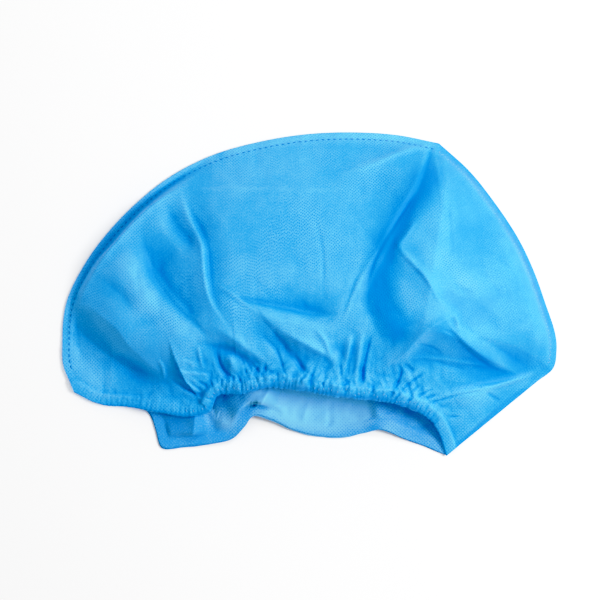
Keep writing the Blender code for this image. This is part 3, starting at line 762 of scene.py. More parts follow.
def fold_height(points, folds):
    """The sum of the folds' heights: each flank falls from the path to nothing at its width."""
    total = np.zeros(len(points))
    for fold in folds:
        path = smooth_curve(place(fold.path), 2 * PATH_STEP)
        reach = max(fold.left, fold.right) * LENGTH
        low = path[:, :2].min(axis=0) - reach
        high = path[:, :2].max(axis=0) + reach
        here = np.flatnonzero(((points[:, :2] > low) & (points[:, :2] < high)).all(axis=1))
        if not len(here):
            continue
        distance, side, run, _ = nearest(points[here], path)
        length = run_of(path)[-1]
        width = np.where(side > 0, fold.left, fold.right) * LENGTH
        t = np.clip(distance / width, 0.0, 1.0)
        ends = ramp(run / (FOLD_END * length)) * ramp((length - run) / (FOLD_END * length))
        total[here] += fold.rise * LOFT * ends * (1.0 - t) ** 2 * (1.0 + 2.0 * fold.round * t)
    return total


class Panel(NamedTuple):
    """The curves of a side panel: crown seam, turned edge, hem and the way its width points."""

    seam: np.ndarray
    turn: np.ndarray
    hem: np.ndarray
    outer: np.ndarray
    way: np.ndarray


def panel_plan(sections):
    """The panel between the crown seam, the turned edge at the back and its hem."""
    crown = place(CROWN)
    back = smooth_curve(place(BACK), PATH_STEP)
    outer, way = hem_edge(sections, crown[0], back[-1])
    hem = outer.copy()
    hem[:, :2] += (HEM_BAND + SEAM_GAP) * way
    front = smooth_curve(np.vstack([hem[:1, :2], crown]), PATH_STEP)
    count = round(math.hypot(*(back[-1] - hem[-1, :2])) / PATH_STEP)
    turn = back[-1] + np.linspace(0.0, 1.0, count + 1)[:, None] * (hem[-1, :2] - back[-1])
    return Panel(np.vstack([front, back[1:]]), turn, hem, outer, way)


def hem_rise(lift):
    """Height of the near hem over its seat: it comes clear of the far one as it lifts."""
    return NEAR_HEM_SEAT + lift + HEM_LIFTS_OFF * ramp(lift / CASING_WIDTH)


def share_along(points):
    """Where points lie along the cap, as shares of LENGTH from its left end."""
    return points[:, 0] / LENGTH + 0.5


def near_height(points, panel, casing):
    """Middle of the near cloth: puffed from its seam, drawn down and gathered to its hem."""
    from_rim, _, seam_run, _ = nearest(points, panel.seam)
    left_end = ramp((NARROW_FROM - share_along(points)) / NARROW_FADE)
    from_seam = from_rim - PLAIN_ALLOWANCE - (0.5 * SEAM_ALLOWANCE - PLAIN_ALLOWANCE) * left_end
    from_turn = nearest(points, panel.turn)[0]
    from_hem, _, run, at_hem = nearest(points, panel.hem[::3])
    draw = ramp(from_hem / HEM_DRAW)
    settle = ramp(from_seam / SEAM_SETTLE)
    body = LOFT * dome(from_seam / SEAM_SHOULDER) * dome(from_turn / TURN_SHOULDER)
    hem = hem_rise(at_hem[:, 2]) - NEAR_SEAT
    folds = fold_height(points, NEAR_FOLDS) * settle * ramp(from_hem / HEM_REACH)
    off_rim = ramp(from_rim / SEAM_ALLOWANCE)
    folds += fold_height(points, NEAR_CREASES) * off_rim * ramp(from_hem / CREASE_FADE)
    loose = body * draw + folds + hem * (1.0 - draw)
    loose = np.maximum(loose, hem * (1.0 - draw))
    pleats = gathers(from_hem, run, at_hem[:, 3], casing) * off_rim
    loose += pleats
    loose += crumple(points, NEAR_FACETS, from_hem, at_hem[:, 3]) * settle
    loose += OVER_HEM * ramp(at_hem[:, 2] / CASING_WIDTH) * np.exp(-from_hem / 0.003)
    loose += seam_puckers(from_rim - STITCH_LINE, seam_run) * ramp(from_hem / CASING_WIDTH)
    kept = TURN_KEEPS + (1.0 - TURN_KEEPS) * ramp(from_turn / TURN_FADE)
    height = NEAR_SEAT + np.maximum(loose, 0.0) * kept
    return laid_over(height, points, panel, casing, from_hem, pleats)


def laid_over(height, points, panel, casing, from_hem, pleats):
    """The cloth's height, carried over its casing where it reaches past the casing's inner edge.

    Past that edge it stands OVER_CASING above the tube's upper side, which is the tube's middle
    and its thickness there. Over the inner half the thickness is full, so no groove is left,
    and the pleats run on across the casing, dying out towards its free edge.
    """
    close = from_hem < HEM_BAND + LAP
    if not close.any():
        return height
    height = height.copy()
    from_outer, _, run, at_outer = nearest(points[close], panel.outer)
    across = np.clip(2.0 * from_outer / HEM_BAND - 1.0, -1.0, 1.0)
    lift, ruffle = at_outer[:, 2], at_outer[:, 3]
    relief, _ = hem_relief(run, across, ruffle, casing.pitch)
    up = (1.0 - np.abs(np.minimum(across, 0.0)) ** (2 / TUBE_ACROSS)) ** (TUBE_UP / 2)
    top = casing.seat(lift) + up * tube_thickness(casing, ruffle, relief)
    top -= sag_of(casing, lift, across)
    share = ramp((HEM_BAND + LAP - from_outer) / LAP)
    top += OVER_CASING + pleats[close] * ramp((1.0 + across) / PLEATS_END)
    height[close] = height[close] * (1.0 - share) + top * share
    return height


def tube_thickness(casing, ruffle, relief):
    """Half the thickness of a hem's tube: fuller where it is gathered, and thicker at its beads."""
    thick = casing.half_thickness * (0.6 + 0.2 * ruffle) + casing.depth * (relief - 0.15 * ruffle)
    return np.maximum(thick, TUBE_LEAST)


def sag_of(casing, lift, across):
    """How far a hem's tube hangs below its seat, most at its free edge, across = -1."""
    return casing.droop * np.clip(2.0 * lift / LOFT, 0.0, 1.0) * ((1.0 - across) / 2) ** 2


def gathers(from_hem, run, ruffle, casing):
    """Height of the gathers above the hem: rounded lobes between sharp valleys out from it.

    Each of their sizes is the absolute value of a mottle over the run along the hem and the
    distance from it, so a valley stands wherever the mottle changes sign. They die out away
    from the hem, each lobe at its own distance, and lean a little to either side.
    """
    pitch = casing.pitch
    lean = run + (0.5 * wander(run, 0.026, 11) + 0.2) * from_hem
    reach = 1.0 + 0.6 * wander(run, 0.007, 12)
    height = 1.0 + 0.5 * wander(run, 0.019, 13)
    total = -0.35 * np.exp(-from_hem / 0.004)
    for size in GATHERS:
        lobes = np.abs(mottle(lean / (size.pitches * pitch), from_hem / size.away, size.seed))
        total += size.height * lobes * np.exp(-from_hem / (size.reach * reach))
    return casing.depth * height * ruffle**2 * total


def crumple(points, sizes, from_hem, ruffle):
    """Height of the faint sharp-edged facets, stronger where the hem draws the cloth together."""
    x, y = points[:, 0], points[:, 1]
    total = np.zeros(len(points))
    for size in sizes:
        ahead = (size.ahead * x + size.aside * y) / size.long + size.start
        aside = (size.ahead * y - size.aside * x) / size.wide + size.start
        drawn = size.drawn * ruffle**2 * np.exp(-from_hem / size.reach)
        total += (size.height + drawn) * np.abs(mottle(ahead, aside, size.seed))
    return total


def seam_puckers(from_seam, run):
    """Small ripples across the seam and a groove along its stitches."""
    ripple = 0.00030 * wander(run, 0.0042, 21) * np.exp(-((from_seam / 0.006) ** 2))
    groove = -0.00012 * np.exp(-((from_seam / 0.0008) ** 2))
    return ripple + groove


def far_height(points, panel, casing):
    """Middle of the far cloth: flat on the floor but for the folds near its hem."""
    from_seam = nearest(points, panel.seam)[0] - SEAM_ALLOWANCE
    from_hem, _, run, at_hem = nearest(points, panel.hem[::3])
    hem = at_hem[:, 2] + FAR_HEM_SEAT - FAR_SEAT
    rise = hem * ramp(1.0 - from_hem / HEM_DRAW)
    rise += fold_height(points, FAR_FOLDS) + fold_height(points, FAR_CREASES)
    rise += 0.0006 * (1.0 + wander(run, 0.012, 31)) * at_hem[:, 3] * np.exp(-from_hem / 0.008)
    rise += OVER_FAR_HEM * np.exp(-from_hem / 0.004)
    rise += crumple(points, FAR_FACETS, from_hem, at_hem[:, 3]) * ramp(from_hem / 0.004)
    height = FAR_SEAT + np.maximum(rise, 0.0) * ramp(from_seam / SEAM_ALLOWANCE)
    return laid_over(height, points, panel, casing, from_hem, 0.0 * height)


def casing_valleys(points, panel, casing):
    """How deep the valleys between a hem's beads lie at plan points over it, for painted shade; 0
    beside the hem.
    """
    deep = np.zeros(len(points))
    from_outer, _, run, at_outer = nearest(points, panel.outer[::3])
    band = from_outer < HEM_BAND
    across = 2.0 * from_outer[band] / HEM_BAND - 1.0
    _, valley = hem_relief(run[band], across, at_outer[band, 3], casing.pitch)
    deep[band] = valley * ramp((HEM_BAND - from_outer[band]) / LAP)
    return deep


def far_painted_shade(points):
    """Painted shade on the far cloth, for the near side's shadow: under the flap and to the right.
    """
    u = share_along(points)
    return 0.75 * ramp((0.40 - u) / 0.05) + 0.33 * ramp((u - 0.62) / 0.05)


def far_hem_painted_shade(points):
    """The same painted shade for the far hem, which is also a little darker all along."""
    return 0.18 + far_painted_shade(points)


def evenly(points):
    """No change of shade."""
    return np.zeros(len(points))


def shares(count, at_start, at_end):
    """Shares from 0 to 1, set closer together by at_start and at_end near the two ends."""
    x = np.linspace(0.0, 1.0, 2001)
    density = 1.0 + at_start * np.exp(-x / 0.07) + at_end * np.exp(-(1.0 - x) / 0.035)
    total = np.concatenate([[0.0], np.cumsum((density[1:] + density[:-1]) / 2)])
    return np.interp(np.linspace(0.0, 1.0, count), total / total[-1], x)


def ruled_plan(panel, columns, rows, casing):
    """Plan points of a panel: lines from the hem to the rim that share out their lengths.

    They start over the hem's free edge, a little further out at each of its beads.
    """
    ruffle = panel.outer[:, 3]
    relief, _ = hem_relief(run_of(panel.outer), 0.0 * ruffle - 0.5, ruffle, casing.pitch)
    inwards = HEM_BAND - TUCK - CLOTH_BEAD_OUT * (relief - 0.4 * ruffle)
    start = panel.outer[:, :2] + inwards[:, None] * panel.way
    rim = np.vstack([panel.seam, panel.turn[1:]])
    rim[0] = start[0]
    rim[-1] = start[-1]
    share = np.linspace(0.0, 1.0, columns)
    first, last = (at_runs(share * run_of(path)[-1], path) for path in (start, rim))
    across = shares(rows, 1.6, 0.8)
    return first[:, None] + across[:, None] * (last - first)[:, None]


def grid_faces(number):
    """Quads between neighbouring columns and rows of a grid of point numbers."""
    corners = number[:-1, :-1], number[1:, :-1], number[1:, 1:], number[:-1, 1:]
    return np.column_stack([corner.ravel() for corner in corners])


def at_runs(at, path):
    """The path's first two columns at those lengths along it."""
    run = run_of(path)
    return np.column_stack([np.interp(at, run, path[:, k]) for k in (0, 1)])


def add_mesh(name, points, faces, maps, shades, material, weld=False):
    """A smooth closed piece; maps are UVs and shades are numbers, one row for each point.

    weld joins the points that meet where a cloth runs to a tip; the faces of the others are
    turned outwards.
    """
    mesh = bpy.data.meshes.new(name)
    mesh.from_pydata(points.tolist(), [], faces)
    corners = np.empty(len(mesh.loops), np.int32)
    mesh.loops.foreach_get("vertex_index", corners)
    for title, values in maps.items():
        layer = mesh.uv_layers.new(name=title)
        layer.data.foreach_set("uv", values[corners].astype(np.float32).ravel())
    for title, values in shades.items():
        layer = mesh.attributes.new(title, "FLOAT", "POINT")
        layer.data.foreach_set("value", values.astype(np.float32))
    build = bmesh.new()
    build.from_mesh(mesh)
    if weld:
        bmesh.ops.remove_doubles(build, verts=build.verts, dist=1e-6)
        bmesh.ops.dissolve_degenerate(build, edges=build.edges, dist=1e-7)
    else:
        bmesh.ops.recalc_face_normals(build, faces=build.faces)
    build.to_mesh(mesh)
    build.free()
    mesh.validate()
    mesh.shade_smooth()
    mesh.materials.append(material)
    piece = bpy.data.objects.new(name, mesh)
    bpy.context.scene.collection.objects.link(piece)
    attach(piece, "root")
    return piece


def add_cloth(name, plan, middle, thickness, shades, material, coarse=1):
    """A closed cloth over a grid of plan points: an upper layer, a lower one, and its rims.

    The lower layer has every coarse-th point, at the least height of the upper layer round
    it, so that it stays under the upper layer. Faces of the rims join one stretch of the
    lower layer to coarse stretches of the upper one.
    """
    points = np.dstack([plan, middle])
    normal = np.cross(np.gradient(points, axis=0), np.gradient(points, axis=1))
    steep = np.abs(normal[:, :, 2]) / (np.linalg.norm(normal, axis=2) + 1e-12)
    half = thickness / 2 / np.clip(steep, STEEPEST, 1.0)
    over = np.dstack([plan, middle + half])
    low = middle - half
    for axis in (0, 1):
        padded = np.pad(low, coarse - 1, mode="edge")
        low = np.min([np.roll(padded, k, axis) for k in range(1 - coarse, coarse)], axis=0)
        if coarse > 1:
            low = low[coarse - 1 : 1 - coarse, coarse - 1 : 1 - coarse]
    under = np.dstack([plan, low])[::coarse, ::coarse]
    columns, rows = plan.shape[:2]
    count = columns * rows
    upper = np.arange(count).reshape(columns, rows)
    lower = np.arange(under.shape[0] * under.shape[1]).reshape(under.shape[:2]) + count
    faces = grid_faces(upper).tolist() + grid_faces(lower)[:, ::-1].tolist()
    for here, below, turned in (
        (upper[:, 0], lower[:, 0], False), (upper[:, -1], lower[:, -1], True),
        (upper[0], lower[0], True), (upper[-1], lower[-1], False)):
        starts = range(coarse + 1)
        stretch = np.column_stack([here[k : len(here) - coarse + k : coarse] for k in starts])
        wall = np.column_stack([stretch[:, ::-1], below[:-1], below[1:]])
        faces += (wall[:, ::-1] if turned else wall).tolist()
    along = np.linalg.norm(np.diff(points, axis=1), axis=2).cumsum(axis=1)
    along = np.concatenate([np.zeros((columns, 1)), along], axis=1)
    way = plan[:, -1:] - plan[:, :1]
    way = way / (np.linalg.norm(way, axis=2, keepdims=True) + 1e-9)
    unrolled = plan[:, :1] + way * along[:, :, None]
    flat = np.vstack([unrolled.reshape(-1, 2), unrolled[::coarse, ::coarse].reshape(-1, 2)])
    both = {}
    for title, values in shades.items():
        values = values.reshape(columns, rows)
        both[title] = np.concatenate([values.ravel(), values[::coarse, ::coarse].ravel()])
    points = np.vstack([over.reshape(-1, 3), under.reshape(-1, 3)])
    return add_mesh(name, points, faces, {"Cloth": flat}, both, material, weld=True)


def fold_depth(panel, height):
    """A function of plan points: how deep each lies in the folds, from 0 on a ridge to about 1.

    The heights are set out on a plan raster. At each scale, the amount by which the
    mean height around a place stands above it is shared by that distance and summed.
    It darkens the cloth's colour as painted shade in the folds, and lightens it on ridges as
    painted light.
    """
    x = np.arange(-LENGTH / 2 - 0.01, LENGTH / 2 + 0.01, RASTER)
    y = np.arange(-WIDTH / 2 - 0.01, WIDTH / 2 + 0.01, RASTER)
    grid = np.stack(np.meshgrid(x, y, indexing="ij"), axis=2)
    z = height(grid.reshape(-1, 2)).reshape(grid.shape[:2])
    from_rim = nearest(grid.reshape(-1, 2), panel.seam)[0].reshape(z.shape)
    from_hem = nearest(grid.reshape(-1, 2), panel.hem[::3])[0].reshape(z.shape)
    deep = np.zeros_like(z)
    for reach, weight in DEPTH_SCALES:
        side = 2 * reach + 1
        sums = np.cumsum(np.cumsum(np.pad(z, reach, mode="edge"), 0), 1)
        sums = np.pad(sums, ((1, 0), (1, 0)))
        strips = sums[side:] - sums[:-side]
        mean = (strips[:, side:] - strips[:, :-side]) / side**2
        inside = ramp(from_rim / (2 * reach * RASTER))
        if reach == DEPTH_SCALES[-1][0]:
            inside = inside * ramp(from_hem / DEPTH_OFF_HEM)
        deep += weight * np.clip((mean - z) / (reach * RASTER), -0.1, 1.0) * inside

    def at(points):
        i = np.clip((points[:, 0] - x[0]) / RASTER, 0, len(x) - 1.001)
        j = np.clip((points[:, 1] - y[0]) / RASTER, 0, len(y) - 1.001)
        return blend(deep, i.astype(int), j.astype(int), i % 1.0, j % 1.0)

    return at


def hem_relief(run, across, ruffle, pitch):
    """How far the gathered hem stands out at a place, about 0 to 1, and how deep its valleys lie.

    Beads of the gathers' phase, each of its own height and slanted its own way, are mixed with
    the absolute value of a mottle, whose valleys cross them. A weakly gathered hem has them
    only along the middle of its width.
    """
    phase = gather_phase(run, pitch) + 1.1 * wander(run, 0.006, 41) * across
    hump = bead(phase) * (1.0 + 0.4 * wander(run, 0.7 * pitch, 45))
    pucker = np.abs(mottle(run / (0.6 * pitch), 1.1 * across + 50.0, 46))
    middle = 1.0 - (1.0 - ruffle) * across**2
    relief = ruffle * middle * (0.55 * hump + 0.75 * pucker)
    valley = ruffle * middle * np.clip(1.0 - 0.8 * hump - 0.6 * pucker, 0.0, 1.0)
    return relief, valley


def add_casing(name, panel, casing, shade, material):
    """A gathered hem: a flattened tube along the hem, beaded where the elastic draws it in.

    shade is a function of plan points, added to how deep the valleys between the beads lie; the sum
    darkens the colour as painted shade.
    """
    ring = np.linspace(0.0, 2 * math.pi, TUBE_POINTS, endpoint=False)
    across = np.sign(np.cos(ring)) * np.abs(np.cos(ring)) ** TUBE_ACROSS
    up = np.sign(np.sin(ring)) * np.abs(np.sin(ring)) ** TUBE_UP
    run = run_of(panel.outer)[:, None]
    lift = panel.outer[:, 2:3]
    ruffle = panel.outer[:, 3:4]
    relief, valley = hem_relief(run + 0.0 * across, 0.0 * run + across, ruffle, casing.pitch)
    sway = BEAD_OUT * (relief - 0.4 * ruffle) + 0.0003 * wander(run, 0.008, 43)
    reach = HEM_BAND / 2 * (1.0 + across) + sway * across
    middle = panel.outer[:, None, :2] + reach[:, :, None] * panel.way[:, None]
    wrinkle = 0.0003 * ruffle * wander(run + 0.004 * across, 0.0011, 44)
    height = casing.seat(lift) + up * (tube_thickness(casing, ruffle, relief) + wrinkle)
    height = height - sag_of(casing, lift, across)
    points = np.dstack([middle, height]).reshape(-1, 3)
    number = np.arange(len(points)).reshape(-1, TUBE_POINTS)
    sides = grid_faces(np.hstack([number, number[:, :1]]))[:, ::-1]
    fans = []
    for rim in (number[0], number[-1]):
        fans.append(np.column_stack([0 * rim[2:] + rim[0], rim[1:-1], rim[2:]]))
    faces = sides.tolist() + np.vstack(fans).tolist()
    ring_run = np.arange(TUBE_POINTS) / TUBE_POINTS * 2.2 * HEM_BAND
    unrolled = np.column_stack([np.repeat(run, TUBE_POINTS), np.tile(ring_run, len(run))])
    # Painted shade in the valleys between the beads, plus what shade adds
    folds = {"fold": valley.ravel() + shade(points)}
    return add_mesh(name, points, faces, {"Cloth": unrolled}, folds, material)


def turned_by(angle, way):
    """Plan directions turned anticlockwise by those angles."""
    cos, sin = np.cos(angle), np.sin(angle)
    return np.column_stack([cos * way[:, 0] - sin * way[:, 1], sin * way[:, 0] + cos * way[:, 1]])


def add_stitches(name, centre, way, length, radius, material):
    """Thread stitches: each a short six-sided rod along its way, arched and thin at both ends."""
    stations = np.array([-1.0, -0.92, -0.5, 0.0, 0.5, 0.92, 1.0])
    girth = np.array([0.05, 0.55, 0.95, 1.0, 0.95, 0.55, 0.05])
    turn = np.arange(6) * math.pi / 3
    way = way / np.linalg.norm(way, axis=1, keepdims=True)
    side = np.cross(way, (0.0, 0.0, 1.0))
    side /= np.linalg.norm(side, axis=1, keepdims=True)
    top = np.cross(side, way)
    spine = centre[:, None] + stations[:, None] * length / 2 * way[:, None]
    spine = spine + (STITCH_ARCH * (1.0 - stations**2))[:, None] * top[:, None]
    out = np.cos(turn)[:, None] * side[:, None, None] + np.sin(turn)[:, None] * top[:, None, None]
    points = spine[:, :, None] + radius * girth[:, None, None] * out
    number = np.arange(len(stations) * 6).reshape(-1, 6)
    quads = grid_faces(np.hstack([number, number[:, :1]]))[:, [0, 3, 2, 1]]
    halves = [rim[[[0, 1, 2, 3], [0, 3, 4, 5]]] for rim in (number[0], number[-1, ::-1])]
    one = np.vstack([quads, *halves])
    faces = one[None] + number.size * np.arange(len(centre))[:, None, None]
    faces = faces.reshape(-1, 4).tolist()
    return add_mesh(name, points.reshape(-1, 3), faces, {}, {}, material)


class Value:
    """A number at each point of a surface; arithmetic on it adds Math nodes to the finish."""

    def __init__(self, finish, socket):
        self.finish = finish
        self.socket = socket

    def math(self, operation, *others):
        sockets = dict(enumerate((self, *others)))
        return self.finish.node("ShaderNodeMath", {"operation": operation}, sockets)

    def __add__(self, other):
        return self.math("ADD", other)

    def __sub__(self, other):
        return self.math("SUBTRACT", other)

    def __rsub__(self, other):
        return self.finish.node("ShaderNodeMath", {"operation": "SUBTRACT"}, {0: other, 1: self})

    def __mul__(self, other):
        return self.math("MULTIPLY", other)

    __radd__ = __add__
    __rmul__ = __mul__

    def cos(self):
        return self.math("COSINE")

    def clamp(self):
        made = self.math("ADD", 0.0)
        made.socket.node.use_clamp = True
        return made

    def step(self, low, high):
        """0 below low, 1 above high and smooth between."""
        sockets = {"Value": self, "From Min": low, "From Max": high}
        return self.finish.node("ShaderNodeMapRange", {"interpolation_type": "SMOOTHSTEP"}, sockets)


class Finish:
    """A material and its shader; node() is how every other node is added to it."""

    def __init__(self, name):
        self.material = bpy.data.materials.new(name)
        self.material.use_nodes = True
        self.tree = self.material.node_tree
        self.shader = self.tree.nodes["Principled BSDF"]

    def node(self, kind, settings=None, sockets=None, out=0):
        made = self.tree.nodes.new(kind)
        for name, value in (settings or {}).items():
            setattr(made, name, value)
        for name, value in (sockets or {}).items():
            self.feed(made.inputs[name], value)
        return Value(self, made.outputs[out])

    def feed(self, socket, value):
        if isinstance(value, Value):
            self.tree.links.new(value.socket, socket)
        else:
            socket.default_value = value

    def set(self, **values):
        for name, value in values.items():
            self.feed(self.shader.inputs[name.replace("_", " ")], value)

    def mix(self, first, second, share):
        """The first colour turning into the second as the share goes from 0 to 1."""
        sockets = {0: share, 6: first, 7: second}
        return self.node("ShaderNodeMix", {"data_type": "RGBA"}, sockets, out=2)

    def noise(self, place, scale, detail, roughness):
        sockets = {"Vector": place, "Scale": scale, "Detail": detail, "Roughness": roughness}
        return self.node("ShaderNodeTexNoise", None, sockets)

    def attribute(self, name):
        """A number that the mesh has at each of its points."""
        return self.node("ShaderNodeAttribute", {"attribute_name": name}, out="Fac")

    def bump(self, height, strength, distance):
        sockets = {"Strength": strength, "Distance": distance, "Height": height}
        return self.node("ShaderNodeBump", None, sockets)


def bonded_cloth(name, colour, deep, pale, look, held=0.30):
    """Thin bonded cloth: pressed dots, cloudy fibres, painted shade in folds and painted light on
    ridges.

    held says how strong the painted shade in the folds is.
    """
    finish = Finish(name)
    place = finish.node("ShaderNodeUVMap", {"uv_map": "Cloth"})
    x = finish.node("ShaderNodeSeparateXYZ", None, {0: place}, out=0)
    y = finish.node("ShaderNodeSeparateXYZ", None, {0: place}, out=1)
    turn = math.pi * math.sqrt(2) / look.dot_pitch
    dots = ((x * turn).cos() * (y * turn).cos()).step(0.10, 0.75)
    cloud = finish.noise(place, CLOUD_SCALE, 3.0, 0.55)
    patch = finish.noise(place, PATCH_SCALE, 2.0, 0.5)
    fibres = finish.noise(place, FIBRE_SCALE, 3.0, 0.7)
    fold = finish.attribute("fold")
    shown = 0.35 + 0.65 * patch.step(0.40, 0.60) + finish.attribute("dots") * 0.9
    ridge = (0.0 - fold).step(0.0, 0.30)
    # Painted shade in the folds, painted light on ridges, and the strokes' painted light and shade
    tone = 0.5 - fold.step(0.0, 0.55) * held + ridge * RIDGE_PAINTED_LIGHT + finish.attribute("painted_light_and_tone")
    tone = tone + (cloud - 0.5) * CLOUD_TONE + (patch - 0.5) * PATCH_TONE
    tone = tone + (fibres - 0.5) * FIBRE_TONE - (dots - 0.3) * shown * DOT_TONE
    body = finish.mix((*deep, 1.0), (*colour, 1.0), (tone * 2.0).clamp())
    base = finish.mix(body, (*pale, 1.0), (tone * 2.0 - 1.0).clamp())
    height = fibres * 0.8 + cloud * 0.9 - dots * shown * 0.5
    roughness = 0.60 - dots * 0.10 + (fibres - 0.5) * 0.1
    finish.set(Base_Color=base, Roughness=roughness, Normal=finish.bump(height, 0.6, 0.00025))
    finish.set(Metallic=0.0, Specular_IOR_Level=0.35, Sheen_Weight=0.05, Sheen_Roughness=0.45)
    return finish.material


def inner_cloth(name, look):
    """The single layer seen in the opening: the same cloth, paler as painted light for the floor's
    light coming back through it, and more evenly coloured, with stronger painted shade in its
    folds.
    """
    inner = Vector(look.inner_colour)
    pale = inner.lerp(Vector(look.pale_and_painted_light_colour), 0.5)
    deep = inner.lerp(Vector(look.deep_and_painted_shade_colour), 0.8)
    return bonded_cloth(name, tuple(inner), tuple(deep), tuple(pale), look, held=0.42)


def thread_finish(name, colour):
    """Spun thread: fine slanting strands, a little sheen."""
    finish = Finish(name)
    place = finish.node("ShaderNodeTexCoord", out="Object")
    strands = finish.noise(place, STRAND_SCALE, 2.0, 0.6)
    shade = tuple(0.55 * c for c in colour)
    base = finish.mix((*shade, 1.0), (*colour, 1.0), strands.step(0.3, 0.7))
    finish.set(Base_Color=base, Normal=finish.bump(strands, 0.5, 0.0001))
    finish.set(Roughness=0.5, Metallic=0.0, Sheen_Weight=0.2)
    return finish.material


def colour_property(name, description, default):
    return FloatVectorProperty(
        name=name, description=description, default=default, subtype="COLOR", size=3,
        min=0.0, max=1.0)


def length_property(name, description, default, low, high):
    return FloatProperty(
        name=name, description=description, default=default, unit="LENGTH", min=low, max=high)


class CapLook(bpy.types.PropertyGroup):
    """Sizes and colours of the cloth that a user would change."""

    side_colour: colour_property(
        "Side colour", "Colour of the near side's cloth", (0.082, 0.357, 0.745))
    # Paler than the side's colour as painted light, for the floor's light through the single layer
    inner_colour: colour_property(
        "Inner colour", "Colour of the single layer seen in the opening", (0.200, 0.480, 0.770))
    hem_colour: colour_property(
        "Hem colour", "Colour of the near side's hem", (0.082, 0.357, 0.745))
    # The deep colour serves the cloth's darker random tone and the painted shade in its folds
    deep_and_painted_shade_colour: colour_property(
        "Deep colour", "Colour held in the valleys of the folds", (0.040, 0.250, 0.630))
    # The pale colour serves the pressed places and the painted light on ridges and strokes
    pale_and_painted_light_colour: colour_property(
        "Pale colour", "Colour of thin and pressed places", (0.175, 0.500, 0.880))
    # The seam's thread is darkened as painted shade, for the dents it pulls in the cloth
    shaded_thread_colour: colour_property(
        "Thread colour", "Colour of the seam's sewing thread", (0.055, 0.260, 0.640))
    # The paler thread is the same thread with a painted glint
    glint_thread_colour: colour_property(
        "Pale thread colour", "Colour of the thread that glints on the hem and the back",
        (0.260, 0.560, 0.880))
    thickness: length_property(
        "Cloth thickness", "Thickness of one layer of cloth", 0.0004, 0.0001, 0.001)
    dot_pitch: length_property("Dot pitch", "Spacing of the pressed dots", 0.00147, 0.0008, 0.004)
    gather_pitch: length_property(
        "Gather pitch", "Spacing of the hem's fine gathers", 0.0030, 0.002, 0.006)
    gather_depth: length_property(
        "Gather depth", "Height of the hem's fine gathers", 0.0009, 0.0002, 0.002)
    stitch_pitch: length_property(
        "Stitch pitch", "Spacing of the seam's stitches", 0.0035, 0.002, 0.006)


def far_seat(lift):
    """Height of the far hem's middle."""
    return FAR_HEM_SEAT + lift


def near_casing(look):
    """The near hem's tube, gathered over its elastic."""
    return Casing(hem_rise, CASING_DROOP, 0.0009, look.gather_depth, look.gather_pitch)


def far_casing(look):
    """The far hem's tube: flatter, with longer and lower beads."""
    return Casing(far_seat, 0.0, 0.0006, 0.0005, 1.3 * look.gather_pitch)


def side_finish(name, colour, look):
    """Bonded cloth of that colour, as the near side has it."""
    return bonded_cloth(name, colour, look.deep_and_painted_shade_colour, look.pale_and_painted_light_colour, look)


class CAP_OT_far_side(bpy.types.Operator):
    """Lay the far side panel on the floor"""

    bl_idname = "cap.far_side"
    bl_label = "Far side panel"

    def execute(self, context):
        look = context.scene.cap_look
        panel = panel_plan(FAR_HEM)
        casing = far_casing(look)
        height = partial(far_height, panel=panel, casing=casing)
        plan = ruled_plan(panel, *FAR_GRID, casing)
        points = plan.reshape(-1, 2)
        # The far cloth's painted light and shade: the strokes, the folds' depth, and the flap's and
        # right end's painted shadow
        painted_light_and_tone, dots = stroked(points, FAR_STROKES)
        deep = 0.4 * fold_depth(panel, height)(points) + far_painted_shade(points)
        shades = {"fold": deep, "painted_light_and_tone": painted_light_and_tone, "dots": dots}
        middle = height(points).reshape(plan.shape[:2])
        material = inner_cloth("inner_cloth_finish", look)
        piece = add_cloth("far_side_cloth", plan, middle, look.thickness, shades, material)
        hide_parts("far_side_panel")
        return {"FINISHED"}


class CAP_OT_near_side(bpy.types.Operator):
    """Puff up the near side panel with its folds, creases and gathers"""

    bl_idname = "cap.near_side"
    bl_label = "Near side panel"

    def execute(self, context):
        look = context.scene.cap_look
        panel = panel_plan(NEAR_HEM)
        casing = near_casing(look)
        height = partial(near_height, panel=panel, casing=casing)
        plan = ruled_plan(panel, *NEAR_GRID, casing)
        points = plan.reshape(-1, 2)
        painted_light_and_tone, dots = stroked(points, NEAR_STROKES)
        # Painted shade in the folds and between the hem's beads, painted light on ridges, and the
        # strokes' painted light and shade
        deep = fold_depth(panel, height)(points)
        deep += VALLEY_SHADE * casing_valleys(points, panel, casing)
        shades = {"fold": deep, "painted_light_and_tone": painted_light_and_tone, "dots": dots}
        middle = height(points).reshape(plan.shape[:2])
        material = side_finish("side_cloth_finish", look.side_colour, look)
        piece = add_cloth(
            "near_side_cloth", plan, middle, look.thickness, shades, material, NEAR_COARSE)
        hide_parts("near_side_panel")
        return {"FINISHED"}


class CAP_OT_far_hem(bpy.types.Operator):
    """Fold the far side's hem"""

    bl_idname = "cap.far_hem"
    bl_label = "Far hem"

    def execute(self, context):
        look = context.scene.cap_look
        panel = panel_plan(FAR_HEM)
        material = inner_cloth("far_hem_finish", look)
        piece = add_casing("far_hem_cloth", panel, far_casing(look), far_hem_painted_shade, material)
        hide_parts("far_hem_casing")
        return {"FINISHED"}


class CAP_OT_near_hem(bpy.types.Operator):
    """Gather the near side's hem over its elastic"""

    bl_idname = "cap.near_hem"
    bl_label = "Near hem"

    def execute(self, context):
        look = context.scene.cap_look
        panel = panel_plan(NEAR_HEM)
        material = side_finish("near_hem_finish", look.hem_colour, look)
        piece = add_casing("near_hem_cloth", panel, near_casing(look), evenly, material)
        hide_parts("near_hem_casing")
        return {"FINISHED"}


